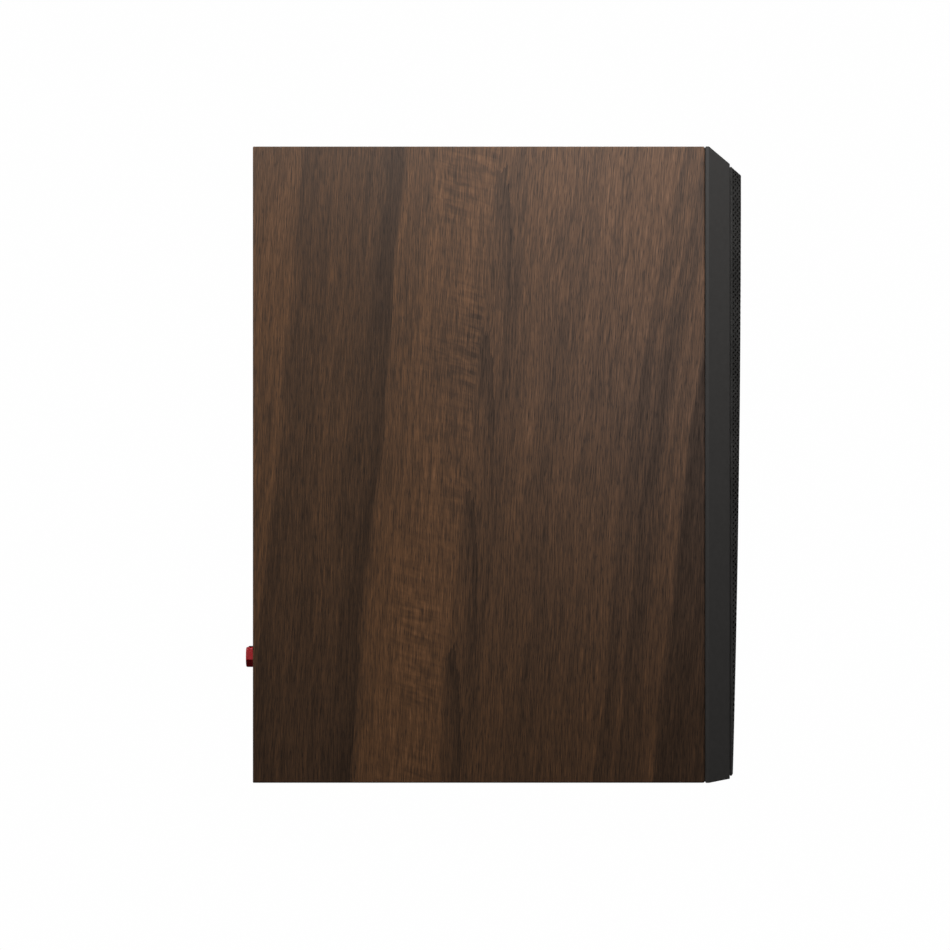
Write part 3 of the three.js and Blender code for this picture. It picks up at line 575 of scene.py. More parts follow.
def mesh(name, points, faces, key, body="cabinet", replaces=(), sharp=32):
    """A visible piece. It takes a look by its key, and rides on a body unless that is None."""
    obj = loose(name, points, faces, 1e-6, True)
    smooth(obj, sharp)
    obj.data.materials.append(look(key))
    if body:
        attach(obj, body)
    if replaces:
        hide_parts(*replaces)
    return obj


def rounded(outline, radius=0.4, steps=3, closed=True):
    """A closed or open outline with its corners rounded, as far as the neighbouring edges allow."""
    points = [Vector(p) for p in outline]
    made = []
    for i, here in enumerate(points):
        before, after = points[i - 1], points[(i + 1) % len(points)]
        on_axis = here.x < 1e-6
        at_end = not closed and i in (0, len(points) - 1)
        into, out = before - here, after - here
        if on_axis or at_end or min(into.length, out.length) < 1e-6:
            made.append(tuple(here))
            continue
        turn = pi - into.angle(out)
        if turn < radians(12):
            made.append(tuple(here))
            continue
        reach = min(radius, 0.45 * into.length, 0.45 * out.length)
        start, end = here + into.normalized() * reach, here + out.normalized() * reach
        for k in range(steps + 1):
            t = k / steps
            made.append(tuple((1 - t) ** 2 * start + 2 * t * (1 - t) * here + t * t * end))
    return made


def arc(centre, radii, start, end, steps):
    """Points of an elliptical arc between two angles in degrees."""
    return [
        (centre[0] + radii[0] * cos(radians(start + (end - start) * k / steps)),
         centre[1] + radii[1] * sin(radians(start + (end - start) * k / steps)))
        for k in range(steps + 1)
    ]


def turned_mesh(outline, centre=(0, 0), segments=96, soften=0.4):
    """Points and faces of a solid of revolution round the Y axis from a closed [radius, y] outline."""
    ring = rounded(outline, soften) if soften else outline
    count = len(ring)
    points = [
        (centre[0] + r * cos(tau * k / segments), y, centre[1] + r * sin(tau * k / segments))
        for k in range(segments) for r, y in ring
    ]
    faces = []
    for k in range(segments):
        here, there = k * count, (k + 1) % segments * count
        for i in range(count):
            j = (i + 1) % count
            if ring[i][0] < 1e-6 and ring[j][0] < 1e-6:
                continue
            faces.append((here + i, here + j, there + j, there + i))
    return points, faces


def turned(name, outline, key, centre=(0, 0), body="cabinet", replaces=None, segments=96, soften=0.4):
    """A turned piece. It replaces the CAD node of its own name unless told otherwise."""
    points, faces = turned_mesh(outline, centre, segments, soften)
    return mesh(name + "_skin", points, faces, key, body, (name,) if replaces is None else replaces)


def ring_stack(rings):
    """Points and faces of a closed solid through rings of equal count, capped at both ends."""
    count = len(rings[0])
    points = [p for ring in rings for p in ring]
    faces = [
        (i * count + k, i * count + (k + 1) % count, (i + 1) * count + (k + 1) % count, (i + 1) * count + k)
        for i in range(len(rings) - 1) for k in range(count)
    ]
    last = (len(rings) - 1) * count
    return points, [*faces, tuple(range(count))[::-1], tuple(range(last, last + count))]


def rounded_rect(width, height, radius, y, centre=(0, 0), steps=6):
    """A ring of points in the plane y: a rectangle with rounded corners."""
    ring = []
    for corner, (sx, sz) in enumerate(((1, 1), (-1, 1), (-1, -1), (1, -1))):
        cx, cz = centre[0] + sx * (width / 2 - radius), centre[1] + sz * (height / 2 - radius)
        begin = 90 * corner
        ring += [(px, y, pz) for px, pz in arc((cx, cz), (radius, radius), begin, begin + 90, steps)]
    return ring


def cutter(points, faces):
    """A loose mesh that carve() uses up."""
    return loose("cutter", points, faces, 1e-7)


def rod(radius, y0, y1, x=0, z=0, segments=96):
    """A round cutter along Y."""
    return cutter(*turned_mesh([(0, y0), (radius, y0), (radius, y1), (0, y1)], (x, z), segments, 0))


def block(low, high):
    """A cutter between two corners."""
    (x0, y0, z0), (x1, y1, z1) = low, high
    ring = ((x0, z0), (x1, z0), (x1, z1), (x0, z1))
    return cutter(*ring_stack([[(x, y, z) for x, z in ring] for y in (y0, y1)]))


def carve(obj, cutters, operation="DIFFERENCE", bevel=0.0, sharp=32, bevel_angle=25):
    """Cuts obj with the cutters, bevels the edges, and applies both. The cutters are removed."""
    for tool in cutters:
        change = obj.modifiers.new("cut", "BOOLEAN")
        change.operation = operation
        change.solver = "EXACT"
        change.object = tool
    if bevel:
        change = obj.modifiers.new("bevel", "BEVEL")
        change.width = bevel * MM
        change.segments = 2
        change.limit_method = "ANGLE"
        change.angle_limit = radians(bevel_angle)
    bpy.context.view_layer.update()
    graph = bpy.context.evaluated_depsgraph_get()
    made = bpy.data.meshes.new_from_object(obj.evaluated_get(graph))
    obj.modifiers.clear()
    material = obj.data.materials[0]
    obj.data = made
    obj.data.materials.clear()
    obj.data.materials.append(material)
    smooth(obj, sharp)
    for tool in cutters:
        bpy.data.objects.remove(tool)
    return obj


def on_circle(radius, z, count, start):
    """(x, z) positions spaced evenly on a circle round (0, z)."""
    return [
        (radius * cos(radians(start + 360 * k / count)), z + radius * sin(radians(start + 360 * k / count)))
        for k in range(count)
    ]


# Cabinet.

def wrap_profile():
    """The wrap's section as (inset from the outer skin, y): groove edge, long skin, rear seat, inside."""
    lip = 0.5
    return [
        (GROOVE_INSET, 0), (GROOVE_INSET * 0.45, GROOVE_DEPTH * 0.45), (0.12, GROOVE_DEPTH * 0.85),
        (0, GROOVE_DEPTH + 0.35), (0, DEPTH - lip), *arc((lip, DEPTH - lip), (-lip, lip), 15, 90, 4),
        (BOARD - REBATE, DEPTH), (BOARD - REBATE, DEPTH - BOARD), (BOARD, DEPTH - BOARD), (BOARD, 0),
    ]


def add_wrap_panel(name, key, corner_from, corner_to):
    """One board of the folded wrap, from the middle of one rounded corner to the middle of the next."""
    half_w, half_h = WIDTH / 2, HEIGHT / 2
    start = degrees(np.arctan2(corner_from[1], corner_from[0]))
    end = degrees(np.arctan2(corner_to[1], corner_to[0]))
    turn = (end - start + 180) % 360 - 180
    profile = wrap_profile()
    rings = []
    for (sx, sz), begin in ((corner_from, 0), (corner_to, 0.5)):
        for k in range(5):
            angle = radians(start + turn * (begin + k / 8))
            rings.append([
                (sx * (half_w - max(EDGE_RADIUS, inset)) + max(EDGE_RADIUS - inset, 0) * cos(angle),
                 y,
                 half_h + sz * (half_h - max(EDGE_RADIUS, inset)) + max(EDGE_RADIUS - inset, 0) * sin(angle))
                for inset, y in profile
            ])
    points, faces = ring_stack(rings)
    mesh(name + "_skin", points, faces, key, replaces=(name,), sharp=50)


def add_cabinet():
    corners = {"left": ((-1, -1), (-1, 1)), "right": ((1, 1), (1, -1)), "top": ((-1, 1), (1, 1)),
               "bottom": ((1, -1), (-1, -1))}
    names = {"left": "side_panel_left", "right": "side_panel_right", "top": "top_panel",
             "bottom": "bottom_panel"}
    for side, (one, other) in corners.items():
        add_wrap_panel(names[side], "wall_" + side, one, other)
    add_back_panel()


def add_back_panel():
    inset = BOARD - REBATE + GAP
    width, height = WIDTH - 2 * inset, HEIGHT - 2 * inset
    rings = [rounded_rect(width, height, 0.3, y, (0, HEIGHT / 2), 1) for y in (DEPTH - BOARD, DEPTH)]
    panel = mesh("back_panel_skin", *ring_stack(rings), "wall_back", replaces=("back_panel",))
    tub_w, tub_h = CUP_POCKET[0] + 2 * CUP_WALL + 2 * GAP, CUP_POCKET[1] + 2 * CUP_WALL + 2 * GAP
    carve(panel, [
        rod(PORT_BORE + PORT_WALL + GAP, DEPTH - BOARD - 1, DEPTH + 1, 0, PORT_Z),
        block((-tub_w / 2, DEPTH - BOARD - 1, CUP_Z - tub_h / 2), (tub_w / 2, DEPTH + 1, CUP_Z + tub_h / 2)),
    ], bevel=0.25)


# Front baffle.

def rect_ring(left, right, low, high, y):
    return [(left, y, low), (right, y, low), (right, y, high), (left, y, high)]


def add_baffle():
    half = WIDTH / 2
    inner = half - BOARD - GAP
    rings = [
        rect_ring(FACE_LEFT, FACE_RIGHT, FACE_LOW, FACE_HIGH, FACE),
        rect_ring(-half, half, 0, HEIGHT, -STRIP),
        rect_ring(-half, half, 0, HEIGHT, -GROOVE_DEPTH),
        rect_ring(-half + GROOVE_INSET, half - GROOVE_INSET, GROOVE_INSET, HEIGHT - GROOVE_INSET, 0),
        rect_ring(-inner, inner, BOARD + GAP, HEIGHT - BOARD - GAP, 0.01),
        rect_ring(-inner, inner, BOARD + GAP, HEIGHT - BOARD - GAP, TONGUE),
    ]
    baffle = mesh("front_baffle_skin", *ring_stack(rings), "baffle", replaces=("front_baffle",))
    cutters = [
        rod(WOOFER_FLANGE + GAP, FACE - 1, FACE + WOOFER_RECESS, 0, WOOFER_Z, 128),
        rod(WOOFER_HOLE, FACE - 1, TONGUE + 1, 0, WOOFER_Z, 128),
        rod(TWEETER_FLANGE + GAP, FACE - 1, FACE + TWEETER_RECESS, 0, TWEETER_Z, 128),
        rod(TWEETER_HOLE, FACE - 1, TONGUE + 1, 0, TWEETER_Z, 128),
    ]
    cutters += [rod(2.2, FACE, TONGUE + 1, x, z, 24) for x, z in on_circle(WOOFER_SCREWS, WOOFER_Z, 4, 45)]
    cutters += [rod(2.0, FACE, TONGUE + 1, x, z, 24) for x, z in on_circle(TWEETER_SCREWS, TWEETER_Z, 4, 45)]
    spots = [(x, z) for z in (MAGNET_HIGH, MAGNET_LOW) for x in (-MAGNET_X, MAGNET_X)]
    cutters += [rod(MAGNET_RADIUS + GAP, FACE - 1, FACE + MAGNET_HEIGHT + GAP, x, z, 48) for x, z in spots]
    carve(baffle, cutters, bevel=0.35, sharp=40, bevel_angle=20)
    for i, spot in enumerate(spots):
        front, back = FACE + GAP, FACE + GAP + MAGNET_HEIGHT
        disc = [(0, front), (MAGNET_RADIUS, front), (MAGNET_RADIUS, back), (0, back)]
        turned(f"grille_magnet_{i + 1}", disc,
               "nickel", spot, segments=48, soften=0.3)


# Grille.

def grille_height(x, z):
    """Height of the grille's skin over the baffle: an arched front that runs into a facet on each side,
    with the creases slightly rounded."""
    arched = GRILLE_HIGH - FACET_TOP
    share = np.clip((arched - z) / (arched - GRILLE_LOW - FACET_BOTTOM), 0, 1)
    climb = GRILLE_RISE - GRILLE_EDGE
    planes = np.stack([
        GRILLE_RISE - GRILLE_FALL * share ** 2,
        GRILLE_EDGE + (GRILLE_HALF - np.abs(x)) * climb / FACET_SIDE,
        GRILLE_EDGE + (GRILLE_HIGH - z) * climb / FACET_TOP,
        GRILLE_EDGE + (z - GRILLE_LOW) * (climb - GRILLE_FALL) / FACET_BOTTOM,
    ])
    softness = 0.16
    lowest = planes.min(axis=0)
    return lowest - softness * np.log(np.exp((lowest - planes) / softness).sum(axis=0))


def grille_surface(u, v):
    """Front and back points of the sheet at a place on its flat pattern. u is 0 to 1 across the sheet,
    and v is the distance in millimetres down from the top edge."""
    climb = GRILLE_RISE - GRILLE_EDGE
    arched, top_length = GRILLE_HIGH - FACET_TOP, hypot(FACET_TOP, climb)
    z = np.where(v < top_length, GRILLE_HIGH - v * FACET_TOP / top_length, arched - (v - top_length))
    z = np.maximum(z, GRILLE_LOW)
    stretch = hypot(1, climb / FACET_SIDE)
    share = np.clip((arched - z) / (arched - GRILLE_LOW), 0, 1)
    facet = (climb - GRILLE_FALL * share ** 2) * FACET_SIDE / climb
    half = GRILLE_HALF + facet * (stretch - 1)
    along = (2 * u - 1) * half
    flat = GRILLE_HALF - facet
    away = np.abs(along)
    x = np.sign(along) * np.where(away < flat, away, flat + (away - flat) / stretch)
    step = 0.25
    slope_x = (grille_height(x + step, z) - grille_height(x - step, z)) / (2 * step)
    slope_z = (grille_height(x, z + step) - grille_height(x, z - step)) / (2 * step)
    front = np.stack([x, FACE - grille_height(x, z), z], axis=-1)
    inward = np.stack([slope_x, np.ones_like(x), slope_z], axis=-1)
    inward /= np.linalg.norm(inward, axis=-1, keepdims=True)
    return front, front + SHEET * inward


def add_grille_mesh():
    """The perforated sheet: a staggered lattice of cells with a round hole in each, then a plain hem and
    a lip that folds back to the baffle."""
    across, down = FLAT_ACROSS, FLAT_DOWN
    columns = 2 * int((across - 2 * HEM) / PITCH_ACROSS / 2) + 1
    rows = int((down - 2 * HEM) / PITCH_DOWN)
    hem_u, hem_v = HEM / across, HEM
    cell_u, cell_v = (1 - 2 * hem_u) / columns, (down - 2 * HEM) / rows

    keys, places, quads = {}, [], []

    def spot(i, j):
        """Index of the lattice point i half-columns across and j half-rows down."""
        if (i, j) not in keys:
            keys[i, j] = len(places)
            places.append((hem_u + i * cell_u / 2, hem_v + j * cell_v / 2))
        return keys[i, j]

    rings = []
    for column in range(columns):
        left, odd = 2 * column, column % 2
        starts = [2 * row + odd for row in range(rows - odd)]
        if odd:
            for top in (0, 2 * rows - 1):
                quads.append([spot(left, top), spot(left, top + 1), spot(left + 1, top + 1),
                              spot(left + 2, top + 1), spot(left + 2, top), spot(left + 1, top)])
        for top in starts:
            corners = [(0, 0), (0, 1), (0, 2), (1, 2), (2, 2), (2, 1), (2, 0), (1, 0)]
            rings.append([spot(left + di, top + dj) for di, dj in corners])

    places = np.array(places)
    rings = np.array(rings)
    middle_u = places[rings[:, [1, 5]], 0].mean(axis=1)
    middle_v = places[rings[:, [0, 2]], 1].mean(axis=1)
    angles = np.radians([135, 180, 225, 270, 315, 0, 45, 90])
    hole_u = middle_u[:, None] + HOLE_RADIUS / across * np.cos(angles)
    hole_v = middle_v[:, None] - HOLE_RADIUS * np.sin(angles)
    lattice, holes = len(places), hole_u.size
    all_u = np.concatenate([places[:, 0], hole_u.ravel()])
    all_v = np.concatenate([places[:, 1], hole_v.ravel()])

    # The hem runs round the lattice through the points of its border.
    border = sorted((key for key in keys if key[0] in (0, 2 * columns) or key[1] in (0, 2 * rows)),
                    key=lambda key: np.arctan2(key[1] / rows - 1, key[0] / columns - 1))
    rim = np.array([keys[key] for key in border])
    rim_u, rim_v = places[rim, 0], places[rim, 1]
    edge_u = np.where(rim_u <= hem_u + 1e-9, 0, np.where(rim_u >= 1 - hem_u - 1e-9, 1, rim_u))
    edge_v = np.where(rim_v <= hem_v + 1e-9, 0, np.where(rim_v >= down - hem_v - 1e-9, down, rim_v))
    count = len(rim)

    front, back = grille_surface(np.concatenate([all_u, edge_u]), np.concatenate([all_v, edge_v]))
    inner = len(all_u)
    points = np.concatenate([front[:inner], back[:inner]])
    edge = front[inner:]
    centre = np.array([0, 0, (GRILLE_LOW + GRILLE_HIGH) / 2])
    half = np.array([GRILLE_HALF, 1, (GRILLE_HIGH - GRILLE_LOW) / 2])

    def loop(inset, y):
        """The sheet's outline drawn in by inset, at the depth y."""
        ring = edge.copy()
        for axis in (0, 2):
            limit = half[axis] - inset
            ring[:, axis] = centre[axis] + np.clip(ring[:, axis] - centre[axis], -limit, limit)
        ring[:, 1] = y
        return ring

    edge_y = FACE - GRILLE_EDGE
    loops = [
        loop(0.18, edge_y - 0.16), loop(0.03, edge_y + 0.06), loop(0, edge_y + 0.25),
        loop(0, FACE - GAP - 0.1),
        loop(0.1, FACE - GAP), loop(SHEET - 0.1, FACE - GAP), loop(SHEET, FACE - GAP - 0.1),
        loop(SHEET, edge_y + 0.35),
    ]
    points = np.concatenate([points, *loops])

    faces = [list(face) for face in quads] + [[inner + k for k in face[::-1]] for face in quads]
    hole_index = lattice + np.arange(holes).reshape(-1, 8)
    for k in range(8):
        j = (k + 1) % 8
        outer_a, outer_b, hole_a, hole_b = rings[:, k], rings[:, j], hole_index[:, k], hole_index[:, j]
        faces += np.stack([outer_a, outer_b, hole_b, hole_a], axis=1).tolist()
        faces += np.stack([inner + outer_b, inner + outer_a, inner + hole_a, inner + hole_b], axis=1).tolist()
        faces += np.stack([hole_a, hole_b, inner + hole_b, inner + hole_a], axis=1).tolist()
    chain = [rim] + [2 * inner + count * k + np.arange(count) for k in range(len(loops))] + [inner + rim]
    for one, other in zip(chain, chain[1:]):
        faces += np.stack([one, np.roll(one, -1), np.roll(other, -1), other], axis=1).tolist()
    mesh("grille_mesh_skin", points, faces, "grille", "grille", ("grille_mesh",), sharp=42)


def add_grille():
    add_grille_mesh()
    inset = GRILLE_MARGIN + 3
    outside = (FACE_LEFT + inset, FACE_RIGHT - inset, FACE_LOW + inset, FACE_HIGH - inset)
    width = 8
    rings = []
    for draw_in, rise in ((0, 0), (0, 1), (width, 1), (width, 0)):
        left, right, low, high = (outside[0] + draw_in, outside[1] - draw_in, outside[2] + draw_in,
                                  outside[3] - draw_in)
        spots = [(left, low), (0, low), (right, low)]
        spots += [(right, low + (high - low) * k / 12) for k in range(1, 12)]
        spots += [(right, high), (0, high), (left, high)]
        spots += [(left, high + (low - high) * k / 12) for k in range(1, 12)]
        xs, zs = np.array(spots).T
        top = FACE - grille_height(xs, zs) + SHEET + 0.25
        rings.append([(x, y if rise else FACE - GAP, z) for x, y, z in zip(xs, top, zs)])
    count = len(rings[0])
    points = [p for ring in rings for p in ring]
    faces = []
    for i in range(4):
        here, there = i * count, (i + 1) % 4 * count
        faces += [(here + k, here + (k + 1) % count, there + (k + 1) % count, there + k)
                  for k in range(count)]
    shell = mesh("grille_frame_skin", points, faces, "plastic", "grille", ("grille_frame",))
    carve(shell, [], bevel=0.25)


# Woofer. Every outline is [radius, y], and y grows toward the back.

def hexagon(radius, y, x=0, z=0, turn=0):
    return [(x + radius * cos(radians(turn + 60 * k)), y, z + radius * sin(radians(turn + 60 * k)))
            for k in range(6)]


def screw(name, outline, spot, socket, top, key="blackened"):
    """A screw with a hexagonal socket of the given radius, sunk 1.1 mm from its top."""
    made = turned(name, outline, key, spot, segments=40, soften=0.25)
    turn = degrees(np.arctan2(spot[1], spot[0]))
    recess = ring_stack([hexagon(socket, y, *spot, turn) for y in (top - 0.5, top + 1.1)])
    carve(made, [cutter(*recess)], bevel=0.05)


def add_woofer():
    centre = (0, WOOFER_Z)
    spots = on_circle(WOOFER_SCREWS, WOOFER_Z, 4, 45)
    basket = turned("woofer_basket", [
        (75, FLANGE_FRONT), (61, FLANGE_FRONT), (45.2, SEAT + 32), (38, SEAT + 32), (37, BASKET_END - 1.5),
        (16.5, BASKET_END - 1.5), (16.5, BASKET_END), (38.3, BASKET_END), (39.5, SEAT + 33.5),
        (46.2, SEAT + 33.5), (62.2, FLANGE_BACK), (75, FLANGE_BACK),
    ], "steel", centre)
    windows = []
    corners = [(30, -16), (80, -16), (80, 16), (30, 16)]
    for k in range(6):
        turn = radians(60 * k)
        windows.append(cutter(*ring_stack([
            [(x * cos(turn) - w * sin(turn), y, WOOFER_Z + x * sin(turn) + w * cos(turn)) for x, w in corners]
            for y in (SEAT + 5, SEAT + 28)])))
    holes = [rod(2.3, FLANGE_FRONT - 1, FLANGE_BACK + 1, x, z, 24) for x, z in spots]
    carve(basket, windows + holes, bevel=0.2)

    gasket = turned("woofer_gasket", [(74.7, SEAT), (74.7, SEAT - 1), (64, SEAT - 1), (64, SEAT)], "gasket",
                    centre, soften=0.2)
    carve(gasket, [rod(2.3, SEAT - 2, SEAT + 1, x, z, 24) for x, z in spots])

    trim_front = FLANGE_FRONT - 2.5
    trim = turned("woofer_trim_ring", [
        (75, FLANGE_FRONT), (66.5, FLANGE_FRONT), (66.5, CONE_EDGE - GAP), (62.2, CONE_EDGE - GAP),
        (62.4, trim_front + 1.2), (63.4, trim_front + 0.2), (64.6, trim_front), (66, trim_front + 0.35),
        (72.6, trim_front), (74.4, trim_front + 0.4), (75, trim_front + 1.2),
    ], "plastic", centre, segments=160, soften=0.3)
    carve(trim, [rod(4.1, trim_front - 1, FLANGE_FRONT + 1, x, z, 40) for x, z in spots], bevel=0.12)
    for k, spot in enumerate(spots):
        screw(f"woofer_screw_{k + 1}", [
            (0, SEAT + 12), (1.2, SEAT + 12), (1.9, SEAT + 10.5), (1.9, FLANGE_FRONT), (3.8, FLANGE_FRONT),
            (3.8, FLANGE_FRONT - 1.4), (2.8, FLANGE_FRONT - 2.2), (0, FLANGE_FRONT - 2.2),
        ], spot, 1.7, FLANGE_FRONT - 2.2)

    top_plate, magnet, yoke = BASKET_END, BASKET_END + 5, BASKET_END + 20
    turned("woofer_top_plate", [(15.2, top_plate), (42, top_plate), (42, magnet), (15.2, magnet)], "zinc",
           centre)
    turned("woofer_magnet", [(22, magnet), (46, magnet), (46, yoke), (22, yoke)], "ferrite", centre,
           soften=0.8)
    turned("woofer_yoke", [
        (4, top_plate), (12.3, top_plate), (12.3, yoke), (42, yoke), (42, yoke + 4), (41, yoke + 5),
        (4, yoke + 5),
    ], "zinc", centre, soften=0.5)
    strip = [rounded_rect(18, 3, 0.8, y, (0, WOOFER_Z - 58.5)) for y in (SEAT + 13, SEAT + 25)]
    lugs = mesh("woofer_terminal_strip_skin", *ring_stack(strip), "mdf", replaces=("woofer_terminal_strip",))
    carve(lugs, [], bevel=0.15)
    add_cone(centre)


def add_cone(centre):
    """The moving parts, and the surround and the spider between the basket and the coil."""
    neck, neck_y, edge, body = 13.8, SEAT + 17, 52.2, "woofer_moving"
    rim_y = FLANGE_FRONT + 0.3
    flare = [
        (edge - (edge - neck) * t, rim_y + (neck_y - rim_y) * (0.82 * t + 0.18 * t * t)) for t in
        [k / 12 for k in range(2, 13)]
    ]
    front = [(edge, rim_y), (49, rim_y), *flare]
    back = [(r + 0.5, y + 1.05) for r, y in reversed(front[2:])]
    turned("woofer_cone", [*front, (neck, neck_y + 1.3), *back[1:], (edge, rim_y + 1)], "cone", centre, body,
           segments=160, soften=0)

    def dome(radius, rise, base=SEAT + 12.2):
        return arc((0, base), (radius, -rise), 0, 90, 14)

    turned("woofer_dust_cap", [*dome(20, 7), *dome(19.2, 6.2)[::-1]], "dust_cap", centre, body, soften=0)

    def roll(across, along):
        return arc((57, CONE_EDGE), (across, -along), 0, 180, 20)

    surround = turned("woofer_surround", [
        (66, FLANGE_FRONT), (66, CONE_EDGE), *roll(4.6, 4), (49, CONE_EDGE), (49, FLANGE_FRONT),
        *[(r, y + 0.8) for r, y in roll(3.8, 3.2)[::-1]],
    ], "roll", centre, None, segments=160, soften=0.15)
    flex(surround, 61.6, 52.4)

    hub, rim, waves, height = 17, 39, 7, 1.5
    middle = SEAT + 30.8
    wave = [
        (hub + (rim - hub) * k / 84, middle - height * cos(pi * (waves - 1) * k / 84)) for k in range(85)
    ]
    outline = [(13.8, middle), *wave, (44.6, middle)]
    outline += [(r, y + 0.8) for r, y in outline[::-1]]
    spider = turned("woofer_spider", outline, "spider", centre, None,
                    segments=120, soften=0)
    flex(spider, 40, 16)
    turned("voice_coil_former", [(13, neck_y), (13.5, neck_y), (13.5, BASKET_END + 9), (13, BASKET_END + 9)],
           "former", centre, body, soften=0)
    turned("woofer_voice_coil", [
        (13.8, BASKET_END - 4), (14.6, BASKET_END - 4), (14.6, BASKET_END + 8), (13.8, BASKET_END + 8),
    ], "coil", centre, body, soften=0.15)


def flex(obj, fixed_radius, moving_radius):
    """Bakes the ring's transform and works out each point's share between the fixed radius and the moving
    one; nothing uses that share, so the ring does not bend.
    """
    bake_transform(obj)
    count = len(obj.data.vertices)
    places = np.empty(count * 3, np.float32)
    obj.data.vertices.foreach_get("co", places)
    places = places.reshape(-1, 3) / MM
    radius = np.hypot(places[:, 0], places[:, 2] - WOOFER_Z)
    share = np.clip((fixed_radius - radius) / (fixed_radius - moving_radius), 0, 1)
    share = share * share * (3 - 2 * share)


# Tweeter.

def add_tweeter():
    centre = (0, TWEETER_Z)
    seat, throat = FACE + TWEETER_RECESS, FACE + 14.5
    body = throat + 2
    horn = arc((41, throat), (-25.5, throat - FACE), -90, 0, 28)
    spots = on_circle(TWEETER_SCREWS, TWEETER_Z, 4, 45)
    plate = turned("tweeter_waveguide", [
        (52, FACE + 0.5), (51.5, FACE), *horn[:-1], (15.5, body), (36, body), (36, seat), (52, seat),
    ], "smooth_plastic", centre, segments=160, soften=0.2)
    holes = [rod(1.9, FACE - 1, seat + 1, x, z, 24) for x, z in spots]
    sinks = [rod(3.4, FACE - 1, FACE + 2.5, x, z, 40) for x, z in spots]
    carve(plate, holes + sinks, bevel=0.12)
    for k, spot in enumerate(spots):
        screw(f"tweeter_screw_{k + 1}", [
            (0, seat + 12), (0.9, seat + 12), (1.5, seat + 10.8), (1.5, FACE + 2.5), (3, FACE + 2.5),
            (3, FACE + 1.1), (2.2, FACE + 0.5), (0, FACE + 0.5),
        ], spot, 1.35, FACE + 0.5)
    magnet, yoke, pole = body + 4, body + 14, body + 1
    turned("tweeter_top_plate", [(13.6, body), (34, body), (34, magnet), (13.6, magnet)], "zinc", centre)
    turned("tweeter_magnet", [(16, magnet), (36, magnet), (36, yoke), (16, yoke)], "ferrite", centre,
           soften=0.7)
    turned("tweeter_yoke", [
        (0, pole), (11.6, pole), (11.6, yoke), (34, yoke), (34, yoke + 4), (0, yoke + 4),
    ], "zinc", centre, soften=0.5)

    rim = throat + 0.7
    front = [*arc((0, rim), (12.2, -6), 90, 0, 16), *arc((13.7, rim), (1.5, -1.2), 180, 0, 8)[1:]]
    back = [*arc((13.7, rim + 0.5), (1.5, -1.1), 0, 180, 8), (11.6, rim + 0.5),
            *arc((0, rim), (11.6, -5.4), 0, 90, 16)[1:]]
    turned("tweeter_dome", front + back, "silk", centre, "tweeter_moving", soften=0)
    turned("tweeter_voice_coil", [(12.1, rim + 0.8), (12.7, rim + 0.8), (12.7, body + 4), (12.1, body + 4)],
           "coil", centre, "tweeter_moving", soften=0.12)


# Port, terminal cup and binding posts.

def add_port():
    mouth, end = DEPTH + PORT_PROUD, DEPTH + PORT_PROUD - PORT_LENGTH
    wall, flare = PORT_BORE + PORT_WALL, PORT_FLARE
    turned("port_tube", [
        *arc((PORT_BORE + flare, mouth - flare * 1.5), (-flare, flare * 1.5), 0, 90, 20)[::-1],
        *arc((PORT_BORE + flare / 2, end + flare), (-flare / 2, -flare), 0, 90, 12),
        (wall + flare / 2, end), (wall, end + flare), (wall, DEPTH), (PORT_FLANGE, DEPTH),
        (PORT_FLANGE, mouth - 0.6), (PORT_FLANGE - 1.2, mouth),
    ], "plastic", (0, PORT_Z), segments=144, soften=0.5)


